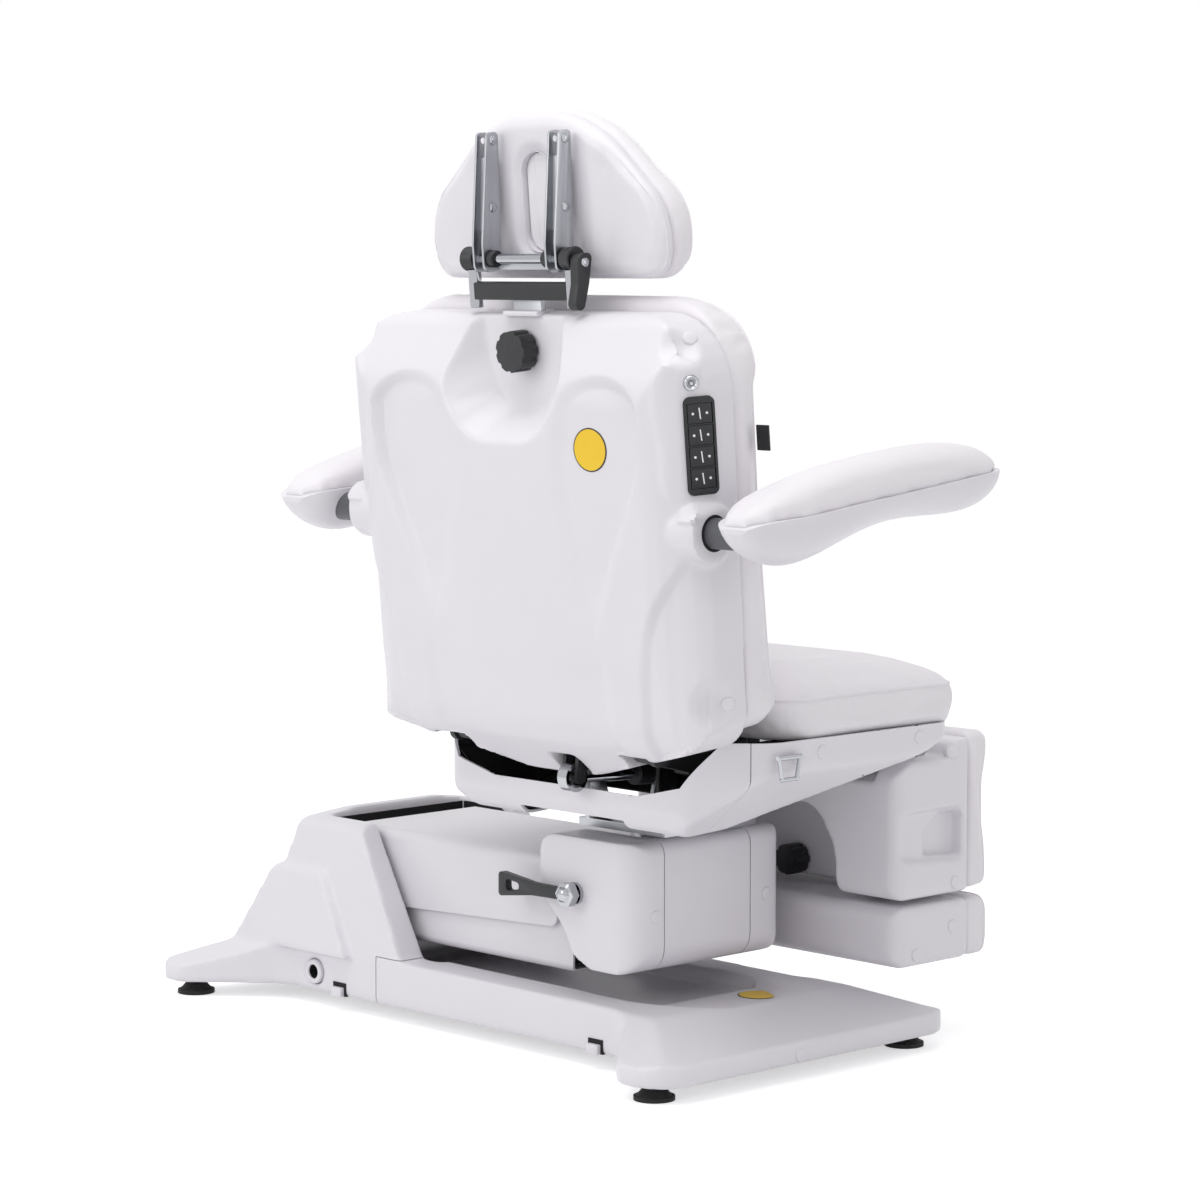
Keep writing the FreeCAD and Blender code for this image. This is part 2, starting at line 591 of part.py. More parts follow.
def seat_pan_shells():
    """Seat pan and its rear cover, open above and cut away for the tilt lugs and the back hinge."""
    shell = pan_solid(0).cut(pan_solid(WALL))
    well = prism("z", mirrored_u([(96, -150, 20), (96, 112, 20)]), 200, 400)
    hinge_gap = prism("y", mirrored_u([(130, 348, 10), (198, 366, 20), (254, 440)]), 110, 260)
    rail_slot = block((140, -262, 370), (188, -80, 406))
    shell = shell.cut(well).cut(hinge_gap).cut(rail_slot).cut(flipped(rail_slot))
    front = shell.common(block((-400, -400, 200), (400, PAN_SEAM_Y - GAP / 2, 500)))
    rear = shell.common(block((-400, PAN_SEAM_Y + GAP / 2, 200), (400, 400, 500)))
    ear = block((SEAT_HALF - 9, RING_Y - 8, RING_Z - 6), (SEAT_HALF + 6, RING_Y + 8, RING_Z + 6))
    ear = ear.cut(along_y(SEAT_HALF + 1, 0, 200, RING_Z, 3 + RUNNING)).cut(pan_solid(WALL))
    return joined(front, ear, flipped(ear)), largest(rear)


def largest(shape):
    """The biggest solid of a cut shape."""
    return max(shape.Solids, key=lambda solid: solid.Volume)


def seat_frame():
    """Two side rails with the hinge pins, cross tubes and the tilt lugs."""
    tilt_y, tilt_z = TILT_PIVOT
    rail_low, rail_high = RAIL_TOP - 24, RAIL_TOP
    rail = block((146, LEG_PIVOT[0], rail_low), (170, 132, rail_high))
    nose = across(146, 170, LEG_PIVOT[0], LEG_PIVOT[1], 12)
    horn = strut("x", (124, rail_low + 12), BACK_PIVOT, 11, 146, 170)
    leg_pin = across(160, 184, LEG_PIVOT[0], LEG_PIVOT[1], 8)
    back_pin = across(160, 184, BACK_PIVOT[0], BACK_PIVOT[1], 8)
    lug = prism("x", [(tilt_y - 16, tilt_z - 12, 8), (tilt_y + 16, tilt_z - 12, 8), (tilt_y + 14, rail_high),
                      (tilt_y - 14, rail_high)], 66, 72)
    lug = lug.cut(across(50, 80, tilt_y, tilt_z, 8 + RUNNING))
    half = [rail, nose, horn, leg_pin, back_pin, lug]
    cross = [block((-150, y - 12, rail_high - CROSS_THICK), (150, y + 12, rail_high)) for y in (-110, tilt_y)]
    anchor = [block((x - 14, y - 9, z - 8), (x - 9, y + 9, rail_high)).fuse(
        block((x + 9, y - 9, z - 8), (x + 14, y + 9, rail_high))) for x, y, z in ANCHORS]
    strap = [block((-150, y - 9, rail_high - CROSS_THICK), (150, y + 9, rail_high)) for x, y, z in ANCHORS]
    pins = [across(x - 13, x + 13, y, z, ACTUATOR_PIN) for x, y, z in ANCHORS]
    return joined(*half, *[flipped(s) for s in half], *cross, *anchor, *strap, *pins)


def tilt_motor():
    """Gear motor on the tilt axis, hung from the seat frame."""
    y, z = TILT_PIVOT
    body = across(75, 93, y, z, 20)
    return joined(body, block((76, y - 11, z), (92, y + 11, RAIL_TOP - CROSS_THICK - 0.3)))


def seat_cushion():
    """Crowned seat cushion with piped edge and drawn-in sides."""
    middle_y = (SEAT_FRONT_Y + SEAT_REAR_Y) / 2
    front, rear, half = SEAT_FRONT_Y, SEAT_REAR_Y, SEAT_HALF
    corners = [(-half, front, 30, -1, -1), (0, front + 3, 2000, 0, -1), (half, front, 30, 1, -1),
               (half - 4, middle_y, 2000, 1, 0), (half, rear, 60, 1, 1), (0, rear - 2, 2000, 0, 1),
               (-half, rear, 60, -1, 1), (-half + 4, middle_y, 2000, -1, 0)]
    return pillow("z", corners, [(CUSHION_BOTTOM, 6), (436, 0), (CUSHION_PIPING, 2), (484, 20), (493, 60),
                                 (CUSHION_CROWN, 110)])


def strap_ring():
    """D-shaped strap ring hanging from the pan's ear on the +X side."""
    x = SEAT_HALF + 1
    hinge = along_y(x, RING_Y - 20, RING_Y + 20, RING_Z, 3)
    legs = [rod((x, RING_Y + side * 17.5, RING_Z), Vector(0, -side * 0.2, -1), 26, 2.5) for side in (-1, 1)]
    foot = along_y(x, RING_Y - 12, RING_Y + 12, RING_Z - 26, 2.5)
    ends = [Part.makeSphere(3.1, Vector(x, RING_Y + side * 12.6, RING_Z - 25.8)) for side in (-1, 1)]
    return joined(hinge, *legs, foot, *ends)


# Backrest, drawn upright about the recline axis

BACK_FRONT = mirrored_u([(60, BACK_BOTTOM, 150), (293, 22, 46), (BACK_HALF, BACK_TOP, 88)])
BACK_PLAN = mirrored_u([(BACK_HALF, BACK_SEAM), (BACK_HALF, BACK_REAR + 2, 84)])
BACK_SIDE = [(BACK_SEAM, BACK_BOTTOM - 20), (-8, BACK_BOTTOM - 20), (-4, BACK_BOTTOM + 2, 20), (54, 24, 60),
             (BACK_REAR, 120, 200), (BACK_REAR, 440, 90), (16, BACK_TOP, 30), (BACK_SEAM, BACK_TOP + 2)]


def back_solid(inset):
    """Outer form of the back shell, drawn in by inset and open to the front."""
    front = prism("y", BACK_FRONT, BACK_SEAM - (20 if inset else 0), 200, inset)
    plan_corners = [(u, v - (60 if inset and v == BACK_SEAM else 0)) + tuple(r) for u, v, *r in BACK_PLAN]
    side_corners = [(u - (40 if inset and u == BACK_SEAM else 0), v) + tuple(r) for u, v, *r in BACK_SIDE]
    return front.common(prism("z", plan_corners, -200, 700, inset)).common(
        prism("x", side_corners, -400, 400, inset))


def scoop(grow):
    """U-shaped scoop at the top of the back, tapering to its floor."""
    rim = mirrored_u([(60 + grow, 372 - grow, 60), (112 + grow, 430, 60), (128 + grow, 640)])
    floor = mirrored_u([(38 + grow, 410 - grow, 38), (66 + grow, 470, 60), (84 + grow, 640)])
    level = SCOOP_FLOOR - grow
    return Part.makeLoft([outline("y", floor, level), outline("y", rim, BACK_REAR + 6)], True, True)


def lobe():
    """Shallow teardrop dish in the rear face on the +X side."""
    rim = [(100, 452, 50), (205, 446, 50), (211, 330, 90), (168, 96, 14), (144, 96, 14), (92, 330, 90)]
    floor = [(128, 420, 24), (186, 416, 24), (190, 330, 60), (166, 150, 8), (150, 150, 8), (120, 330, 60)]
    return Part.makeLoft([outline("y", floor, BACK_REAR - 9), outline("y", rim, BACK_REAR + 1.5)], True, True)


def keypad_frame(shape):
    """Turn a keypad piece, drawn facing +Y about its centre, into the right rear corner of the back."""
    placed = shape.copy()
    placed.rotate(ZERO, Z_AXIS, -KEYPAD_TURN)
    placed.translate(Vector(*KEYPAD_CENTRE))
    return placed


def back_shell():
    """Moulded back shell with its scoop, dishes, armrest sockets and keypad opening."""
    depth, height = SOCKET
    bulge = across(236, SOCKET_X, depth, height, SOCKET_RADIUS + 10)
    outer = back_solid(0).fuse([bulge, flipped(bulge)])
    hollow = back_solid(WALL).cut(scoop(WALL)).cut(lobe_pad())
    sleeve = across(190, SOCKET_X, depth, height, SOCKET_RADIUS)
    hollow = hollow.cut(sleeve).cut(flipped(sleeve))
    keypad_room = keypad_frame(block((-KEYPAD_HALF_WIDTH - 6, -40, -KEYPAD_HEIGHT / 2 - 6),
                                     (KEYPAD_HALF_WIDTH + 6, 2, KEYPAD_HEIGHT / 2 + 6)))
    shell = outer.cut(hollow.cut(keypad_room)).cut(scoop(0)).cut(lobe()).cut(flipped(lobe()))
    bore = across(200, SOCKET_X + 5, depth, height, TUBE_RADIUS + RUNNING)
    shell = shell.cut(bore).cut(flipped(bore))
    shell = shell.cut(keypad_frame(block((-KEYPAD_HALF_WIDTH, -14, -KEYPAD_HEIGHT / 2),
                                         (KEYPAD_HALF_WIDTH, 60, KEYPAD_HEIGHT / 2))))
    hinge_slot = block((138, BACK_SEAM - 30, BACK_BOTTOM - 30), (192, 30, 32))
    crank_slot = block((BACK_ACTUATOR_X - 24, BACK_SEAM - 30, BACK_BOTTOM - 30), (BACK_ACTUATOR_X + 24, 34, -8))
    shell = shell.cut(hinge_slot).cut(flipped(hinge_slot)).cut(crank_slot)
    post_half = POST_WIDTH / 2 + 1
    post_slot = block((-post_half, POST_DEPTH[0] - 1, 380), (post_half, POST_DEPTH[1] + 1, 700))
    knob_hole = along_y(0, -30, 80, KNOB_HEIGHT, KNOB_RADIUS * 0.5 + 0.4)
    return largest(shell.cut(post_slot).cut(knob_hole))


def lobe_pad():
    """Wall behind both rear dishes."""
    rim = [(84, 462, 50), (217, 456, 50), (222, 330, 90), (176, 86, 18), (136, 86, 18), (80, 330, 90)]
    wall = prism("y", rim, BACK_REAR - 9 - WALL, BACK_REAR + 20)
    return wall.fuse(flipped(wall))


def back_frame():
    """Steel frame inside the back: two hinge plates, uprights, cross tubes and the actuator crank."""
    plate = prism("x", [(-14, -14, 13), (14, -14, 13), (14, 70), (-30, 70), (-30, 40)], 174, 182)
    plate = plate.cut(across(150, 200, 0, 0, 8 + RUNNING))
    upright = block((166, -32, 66), (182, -14, 420))
    ties = [block((-182, -32, h), (182, -14, h + 18)) for h in (66, 230, 402)]
    crank_x, crank_y, crank_z = BACK_ACTUATOR_X, *BACK_CRANK
    fork = [prism("x", [(crank_y - 8, crank_z - 8, 7), (crank_y + 8, crank_z - 8, 7), (-14, 66), (-32, 66)],
                  crank_x + side * 11 - 2.5, crank_x + side * 11 + 2.5) for side in (-1, 1)]
    pin = across(crank_x - 13, crank_x + 13, crank_y, crank_z, ACTUATOR_PIN)
    half = [plate, upright]
    return joined(*half, *[flipped(s) for s in half], *ties, *fork, pin)


def back_cushion():
    """Crowned back cushion with drawn-in sides."""
    low, high, half = 26.0, BACK_CUSHION_TOP, 300.0
    middle = (low + high) / 2
    corners = [(-half, low, 40, -1, -1), (0, low - 6, 1500, 0, -1), (half, low, 40, 1, -1),
               (half - 5, middle, 2000, 1, 0), (half, high, 96, 1, 1), (0, high + 1, 3000, 0, 1),
               (-half, high, 96, -1, 1), (-half + 5, middle, 2000, -1, 0)]
    seam = BACK_SEAM - GAP
    layers = [(seam, 5), (seam - 18, 0), (seam - 46, 3), (-102, 20), (BACK_CUSHION_FRONT, 74)]
    return pillow("y", corners, layers)


def keypad_housing():
    """Black keypad frame with a pocket for each rocker key."""
    half, tall = KEYPAD_HALF_WIDTH - 0.4, KEYPAD_HEIGHT / 2 - 0.4
    body = prism("y", mirrored_u([(half, -tall, 8), (half, tall, 8)]), -13, 4)
    for index in range(KEY_COUNT):
        low = key_low(index)
        body = body.cut(block((-half + 3, -5, low - 0.4), (half - 3, 10, low + KEY_TALL + 0.4)))
    return body


def key_low(index):
    """Lower edge of a key, counted from the bottom, about the keypad's centre."""
    return -KEY_PITCH * KEY_COUNT / 2 + KEY_PITCH * index + 1.2


def rocker_key(index):
    """One rocker key, free to tip about its middle."""
    half = KEYPAD_HALF_WIDTH - 4.2
    low = key_low(index)
    return prism("z", [(-half, -1.5), (half, -1.5), (half, 4, 1), (-half, 4, 1)], low, low + KEY_TALL)


# Armrests

ARM_STATIONS = [(284, 22, 690, 698, 684), (262, 40, 698, 716, 660), (214, 48, 703, 735, 645),
                (140, 50, 712, 755, 664), (70, 50, 720, 766, 686), (-40, 50, 733, 776, 692),
                (-110, 46, 741, 770, 702), (-142, 24, 744, 756, 724)]


def armrest_half(upper):
    """Padded top or plastic lower half of the +X armrest, lofted along its length."""
    wires = []
    for y, half, seam, crown, keel in ARM_STATIONS:
        level = seam + (GAP if upper else -GAP)
        far = crown if upper else keel
        bend = level + 0.72 * (far - level)
        points = [Vector(ARMREST_X + u, y, z) for u, z in ((-half, level), (half, level))]
        top = Vector(ARMREST_X, y, far)
        rising = Part.Arc(points[1], Vector(ARMREST_X + 0.74 * half, y, bend), top).toShape()
        falling = Part.Arc(top, Vector(ARMREST_X - 0.74 * half, y, bend), points[0]).toShape()
        wires.append(Part.Wire([Part.LineSegment(*points).toShape(), rising, falling]))
    return Part.makeLoft(wires, True, False)


def armrest_pieces():
    """Pad, shell and tube of the +X armrest; the tube turns in the socket of the back."""
    y, z = back_point(*SOCKET)
    tube = across(SOCKET_X - 90, ARMREST_X - 10, y, z, TUBE_RADIUS)
    shell = armrest_half(False).cut(across(SOCKET_X, ARMREST_X - 10 + 0.2, y, z, TUBE_RADIUS + RUNNING))
    return armrest_half(True), shell, tube


# Headrest, drawn upright about the recline axis

def headrest_post():
    """Flat post with a black crossbar and two uprights that carry the clamp shaft."""
    depth, height = SHAFT
    bar = block((-POST_WIDTH / 2, POST_DEPTH[0], 396), (POST_WIDTH / 2, POST_DEPTH[1], 545))
    crossbar = block((-HUB_X + 4, depth - 12, 538), (HUB_X - 4, depth + 8, 562))
    upright = rod((HUB_X, depth, 530), Z_AXIS, height - 13 - 530, 8)
    return joined(bar, crossbar, upright, flipped(upright))


def headrest_shaft():
    """Clamp shaft with a round hub at each end, resting on the uprights of the post."""
    depth, height = SHAFT
    shaft = across(-HUB_X - 22, HUB_X, depth, height, 6)
    hub = across(HUB_X - 10, HUB_X + 10, depth, height, 13)
    return joined(shaft, hub, flipped(hub))


def headrest_arms():
    """Two folded channel arms between the clamp shaft and the headrest, joined by a cross plate."""
    low_y, low_z = SHAFT
    high_y, high_z = HEADREST_PIVOT
    cheek = [(low_y - 16, low_z - 16, 10), (low_y + 12, low_z - 16, 10), (low_y + 12, low_z + 20, 10),
             (high_y + 9, high_z + 10, 6), (high_y - 9, high_z + 10, 6)]
    arm = prism("x", cheek, HEADREST_ARM_X - 12, HEADREST_ARM_X - 9)
    outer = prism("x", cheek, HEADREST_ARM_X + 5, HEADREST_ARM_X + 8)
    web = prism("x", [(low_y - 4, low_z + 34), (low_y - 1, low_z + 34), (high_y + 6, high_z - 20),
                      (high_y + 3, high_z - 20)], HEADREST_ARM_X - 11, HEADREST_ARM_X + 7)
    tie = block((-HEADREST_ARM_X, low_y - 15, low_z - 14), (HEADREST_ARM_X, low_y - 12, low_z + 26))
    shape = joined(arm, outer, web, flipped(arm), flipped(outer), flipped(web), tie)
    shape = shape.cut(across(-200, 200, low_y, low_z, 6 + RUNNING))
    return shape.cut(across(-200, 200, high_y, high_z, 4 + RUNNING))


HEADREST_OUTLINE = [(HEADREST_HALF - 8, HEADREST_BOTTOM, 36, 1, -1), (HEADREST_HALF, 640, 84, 1, -0.4),
                    (82, HEADREST_TOP, 170, 0.45, 1), (-82, HEADREST_TOP, 170, -0.45, 1),
                    (-HEADREST_HALF, 640, 84, -1, -0.4), (-HEADREST_HALF + 8, HEADREST_BOTTOM, 36, -1, -1)]


def headrest_shell():
    """Half-moon shell with an oval face hole, ears for the arms and dished sides."""
    outer = pillow("y", HEADREST_OUTLINE, [(HEADREST_SEAM, 3), (-38, 4), (-29, 10), (HEADREST_BACK, 20)])
    inside = [(HEADREST_SEAM - 1, 7), (-40, 8), (-32, 14), (HEADREST_BACK - WALL, 24)]
    inner = pillow("y", HEADREST_OUTLINE, inside)
    hole_rim = prism("y", mirrored_u([(30, 596, 28), (30, 712, 28)]), -90, HEADREST_BACK - 0.5)
    hole = prism("y", mirrored_u([(25, 601, 24), (25, 707, 24)]), -120, 20)
    high_y, high_z = HEADREST_PIVOT
    lug = [(HEADREST_BACK - 2, high_z - 12), (high_y, high_z - 9, 7), (high_y + 9, high_z, 7),
           (high_y, high_z + 9, 7), (HEADREST_BACK - 2, high_z + 12)]
    ear = prism("x", lug, HEADREST_ARM_X - 8, HEADREST_ARM_X + 4)
    bolt = across(HEADREST_ARM_X - 16, HEADREST_ARM_X + 12, high_y, high_z, 4)
    shell = outer.cut(inner.cut(hole_rim)).cut(hole)
    return joined(shell, ear, flipped(ear), bolt, flipped(bolt))


def headrest_pad():
    """Crowned half-moon pad."""
    seam = HEADREST_SEAM - GAP
    layers = [(seam, 5), (seam - 14, 0), (seam - 32, 6), (-95, 20), (HEADREST_FRONT, 36)]
    return pillow("y", HEADREST_OUTLINE, layers)


def headrest_lever():
    """Black clamp lever on the -X hub, hanging down."""
    depth, height = SHAFT
    inner, outer = -HUB_X - 10.4, -HUB_X - 26
    boss = across(outer, inner, depth, height, 12)
    arm = prism("x", [(depth - 11, height + 4, 8), (depth + 11, height + 4, 8), (depth + 18, height - 60, 8),
                      (depth - 2, height - 60, 8)], outer, inner - 4.6)
    return joined(boss, arm).cut(across(outer + 3.6, 0, depth, height, 6 + RUNNING))


def post_knob():
    """Star knob that clamps the post, on the floor of the scoop."""
    knob = star_knob(KNOB_RADIUS, 24, 9)
    knob.translate(Vector(0, SCOOP_FLOOR + 3, KNOB_HEIGHT))
    return joined(knob, along_y(0, POST_DEPTH[1] + 0.4, SCOOP_FLOOR + 4, KNOB_HEIGHT, 5))


# Leg rest and foot rest

TUBE_HOLE = [(LEG_TUBE_X - 13, LEG_TUBE_Y - 13), (LEG_TUBE_X + 13, LEG_TUBE_Y - 13),
             (LEG_TUBE_X + 13, LEG_TUBE_Y + 13), (LEG_TUBE_X - 13, LEG_TUBE_Y + 13)]


def leg_casing():
    """Deep casing behind the leg pad, with an arched hollow in its rear face and a grip recess on each side."""
    side = [(LEG_SEAM_Y, LEG_BOTTOM), (LEG_REAR_Y, LEG_BOTTOM, 16), (LEG_REAR_Y, 366, 30), (-262, 366, 6),
            (-272, 386, 10), (LEG_SEAM_Y, 390)]
    ends = mirrored_u([(LEG_HALF, LEG_BOTTOM, 10), (LEG_HALF, 400)])
    plan = mirrored_u([(LEG_HALF, LEG_SEAM_Y), (LEG_HALF, LEG_REAR_Y, 22)])
    outer = prism("x", side, -400, 400).common(prism("y", ends, -400, 400)).common(prism("z", plan, 0, 500))
    inner_side = [(LEG_SEAM_Y - 10, LEG_BOTTOM + WALL), (LEG_REAR_Y - WALL, LEG_BOTTOM + WALL, 12),
                  (LEG_REAR_Y - WALL, 362, 26), (-266, 362), (-276, 420), (LEG_SEAM_Y - 10, 420)]
    inner = prism("x", inner_side, -LEG_HALF + WALL, LEG_HALF - WALL)
    arch = mirrored_u([(136, LEG_BOTTOM - 30), (128, 250, 40), (96, 302, 40)])
    arch_room = prism("y", arch, LEG_REAR_Y - LEG_HOLLOW, LEG_REAR_Y + 40)
    arch_wall = prism("y", arch, LEG_REAR_Y - LEG_HOLLOW - WALL, LEG_REAR_Y + 40, -WALL)
    hinge_room = block((142, -290, 340), (196, -150, 440))
    grip_dent = [(-288, 226, 10), (-192, 236, 16), (-192, 330, 16), (-250, 352, 16)]
    grip_back = [(-292, 220, 10), (-186, 230, 16), (-186, 336, 16), (-250, 358, 16)]
    grip = prism("x", grip_dent, LEG_HALF - 7, LEG_HALF + 5)
    grip_wall = prism("x", grip_back, LEG_HALF - 11, LEG_HALF)
    inner = inner.cut(arch_wall).cut(grip_wall).cut(flipped(grip_wall))
    shell = outer.cut(inner).cut(arch_room).cut(grip).cut(flipped(grip))
    shell = shell.cut(hinge_room).cut(flipped(hinge_room))
    rod_notch = block((LEG_ACTUATOR_X - 25, -252, 330), (LEG_ACTUATOR_X + 25, -150, 440))
    shell = shell.cut(rod_notch)
    tube_hole = prism("z", TUBE_HOLE, 150, 220)
    knob_hole = along_y(0, -260, -150, LEG_KNOB_Z, LEG_KNOB_RADIUS * 0.5 + 0.4)
    return shell.cut(tube_hole).cut(flipped(tube_hole)).cut(knob_hole)


def square_tube(x, y, half, low, high):
    """Upright square bar."""
    return block((x - half, y - half, low), (x + half, y + half, high))


def leg_frame():
    """Hinge plates, cross tube, crank and the two sockets that guide the foot rails."""
    plate = prism("x", [(LEG_PIVOT[0] - 13, LEG_PIVOT[1] + 8, 9), (LEG_PIVOT[0] + 13, LEG_PIVOT[1] + 8, 9),
                        (LEG_PIVOT[0] + 13, 334), (LEG_PIVOT[0] - 27, 334)], 174, 182)
    plate = plate.cut(across(150, 200, *LEG_PIVOT, 8 + RUNNING))
    guide = square_tube(LEG_TUBE_X, LEG_TUBE_Y, 12, 200, 350).cut(
        square_tube(LEG_TUBE_X, LEG_TUBE_Y, 9 + RUNNING, 190, 400))
    cross = block((-182, LEG_TUBE_Y + 12, 334), (182, LEG_TUBE_Y + 28, 350))
    y, z = LEG_PIVOT[0] + LEG_CRANK[0], LEG_PIVOT[1] + LEG_CRANK[1]
    fork = [prism("x", [(y - 8, z + 8, 7), (y + 8, z + 8, 7), (y - 2, 340), (y - 20, 340)],
                  LEG_ACTUATOR_X + side * 11 - 2.5, LEG_ACTUATOR_X + side * 11 + 2.5) for side in (-1, 1)]
    pin = across(LEG_ACTUATOR_X - 13, LEG_ACTUATOR_X + 13, y, z, ACTUATOR_PIN)
    half = [plate, guide]
    return joined(*half, *[flipped(s) for s in half], cross, *fork, pin)


def front_pad(low, high, half):
    """Crowned pad on the front of the leg or foot rest."""
    corners = [(-half, low, 12, -1, -1), (half, low, 12, 1, -1), (half, high, 12, 1, 1),
               (-half, high, 12, -1, 1)]
    seam = LEG_SEAM_Y - GAP
    return pillow("y", corners, [(seam, 2), (seam - 16, 0), (seam - 36, 2), (seam - 48, 10), (LEG_FRONT_Y, 28)])


def leg_knob():
    """Star knob that clamps the foot rest, in the arched hollow."""
    knob = star_knob(LEG_KNOB_RADIUS, 24, 9)
    knob.translate(Vector(0, LEG_REAR_Y - LEG_HOLLOW + 4, LEG_KNOB_Z))
    return knob


def foot_rails():
    """Two square rails joined by a tie inside the foot casing."""
    rail = square_tube(LEG_TUBE_X, LEG_TUBE_Y, 9, 130, 340)
    tie = block((-LEG_TUBE_X, LEG_TUBE_Y - 9, 122), (LEG_TUBE_X, LEG_TUBE_Y + 9, 140))
    return joined(rail, flipped(rail), tie)


def foot_casing():
    """Shallow casing of the foot rest, closed all round but for the rails and its front."""
    side = [(LEG_SEAM_Y, FOOT_BOTTOM), (LEG_REAR_Y, FOOT_BOTTOM, 18), (LEG_REAR_Y, FOOT_TOP, 18),
            (LEG_SEAM_Y, FOOT_TOP)]
    plan = mirrored_u([(LEG_HALF, LEG_SEAM_Y), (LEG_HALF, LEG_REAR_Y, 22)])
    ends = mirrored_u([(LEG_HALF, FOOT_BOTTOM, 14), (LEG_HALF, FOOT_TOP, 10)])
    outer = prism("x", side, -400, 400).common(prism("z", plan, 0, 500)).common(prism("y", ends, -400, 400))
    inner = block((-LEG_HALF + WALL, LEG_SEAM_Y - 5, FOOT_BOTTOM + WALL),
                  (LEG_HALF - WALL, LEG_REAR_Y - 12, FOOT_TOP - WALL))
    hole = prism("z", TUBE_HOLE, FOOT_TOP - 20, FOOT_TOP + 10)
    return outer.cut(inner).cut(hole).cut(flipped(hole))


# Assembly

def chair():
    """Every node of the chair, about the swivel axis."""
    nodes = {
        "base_frame": base_frame(), "base_front_cover": base_front_cover(),
        "base_rear_cover": base_rear_cover(), "levelling_feet": levelling_feet(),
        "mains_inlet": mains_inlet(), "tower_pivot_pins": tower_pivot_pins(), "control_box": control_box(),
        "upper_link": link(TOWER_UPPER, HEAD_UPPER, 18, UPPER_LINK_Y, (300, 400)),
        "arm_top_cover": arm_top_cover(),
        "lower_link": link(TOWER_LOWER, HEAD_LOWER, 15, LOWER_LINK_Y, (140,)),
        "arm_lower_cover": arm_lower_cover(),
        "head_frame": head_frame(), "head_right_shell": head_shell(1), "head_left_shell": head_shell(-1),
        "head_end_cover": head_end_cover(), "swivel_bearing": swivel_bearing(), "brake_bolt": brake_bolt(),
        "brake_lever": brake_lever(), "swivel_carriage": swivel_carriage(),
        "seat_frame": seat_frame(), "tilt_motor": tilt_motor(), "seat_cushion": seat_cushion(),
        "left_strap_ring": strap_ring(), "right_strap_ring": flipped(strap_ring()),
        "leg_frame": leg_frame(), "leg_casing": leg_casing(), "leg_knob": leg_knob(),
        "leg_pad": front_pad(LEG_BOTTOM, LEG_TOP, LEG_HALF), "foot_rails": foot_rails(),
        "foot_casing": foot_casing(), "foot_pad": front_pad(FOOT_BOTTOM, FOOT_TOP, LEG_HALF),
    }
    nodes["seat_pan"], nodes["pan_rear_cover"] = seat_pan_shells()
    nodes["lift_actuator_tube"], nodes["lift_actuator_rod"] = lift_actuator()
    nodes["back_actuator_tube"], nodes["back_actuator_rod"] = actuator(
        BACK_ACTUATOR_X, BACK_ACTUATOR_PIN, back_point(*BACK_CRANK), 200, 15, 8, ACTUATOR_OPEN_BORE, 72)
    leg_crank = (LEG_PIVOT[0] + LEG_CRANK[0], LEG_PIVOT[1] + LEG_CRANK[1])
    nodes["leg_actuator_tube"], nodes["leg_actuator_rod"] = actuator(
        LEG_ACTUATOR_X, LEG_ACTUATOR_PIN, leg_crank, 165, 15, 8, ACTUATOR_OPEN_BORE, 34)
    upright = {
        "back_frame": back_frame(), "back_shell": back_shell(), "back_cushion": back_cushion(),
        "keypad_housing": keypad_frame(keypad_housing()),
        "headrest_post": headrest_post(), "headrest_shaft": headrest_shaft(), "headrest_arms": headrest_arms(),
        "headrest_shell": headrest_shell(), "headrest_pad": headrest_pad(), "headrest_lever": headrest_lever(),
        "post_knob": post_knob(),
    }
    for index in range(KEY_COUNT):
        upright[f"keypad_key_{index + 1}"] = keypad_frame(rocker_key(KEY_COUNT - 1 - index))
    for name, shape in upright.items():
        nodes[name] = leaned(shape)
    pad, shell, tube = armrest_pieces()
    for name, shape in (("pad", pad), ("shell", shell), ("tube", tube)):
        nodes[f"left_armrest_{name}"] = shape
        nodes[f"right_armrest_{name}"] = flipped(shape)
    return nodes


def footprint_middle(nodes):
    """Middle of the chair's box in plan, which becomes the origin."""
    points = [point for shape in nodes.values() for point in shape.tessellate(0.2)[0]]
    x = (min(p.x for p in points) + max(p.x for p in points)) / 2
    y = (min(p.y for p in points) + max(p.y for p in points)) / 2
    return Vector(round(x, 2), round(y, 2), 0)


def main():
    """Build, move to the origin, report and write every node."""
    os.makedirs("parts", exist_ok=True)
    nodes = chair()
    origin = footprint_middle(nodes)
    print("swivel axis at", -origin.x, -origin.y)
    for name, shape in nodes.items():
        solids = shape.Solids
        if not shape.isValid() or not solids:
            print("check", name, shape.isValid(), len(solids))
        moved = shape if len(solids) > 1 else solids[0]
        moved = moved.copy()
        moved.translate(-origin)
        moved.exportStep(f"parts/{name}.step")
        print(f"{name}: {len(solids)} solid, {moved.Volume / 1000:.1f} cm3")
    print(len(nodes), "nodes")


main()
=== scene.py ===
# %% [markdown]
# # A beauty treatment chair
# A padded chair on a long low base: a lift arm carries a swivel head, and on it sit the seat, the back, the
# leg rest and the headrest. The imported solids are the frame, and this lesson dresses them: moulded covers
# with soft edges, cushions that are stuffed by a cloth simulation, and small fittings.

# %% Load the frame
import json
import math
import bmesh
import bpy
from mathutils import Matrix, Vector
from mathutils.bvhtree import BVHTree

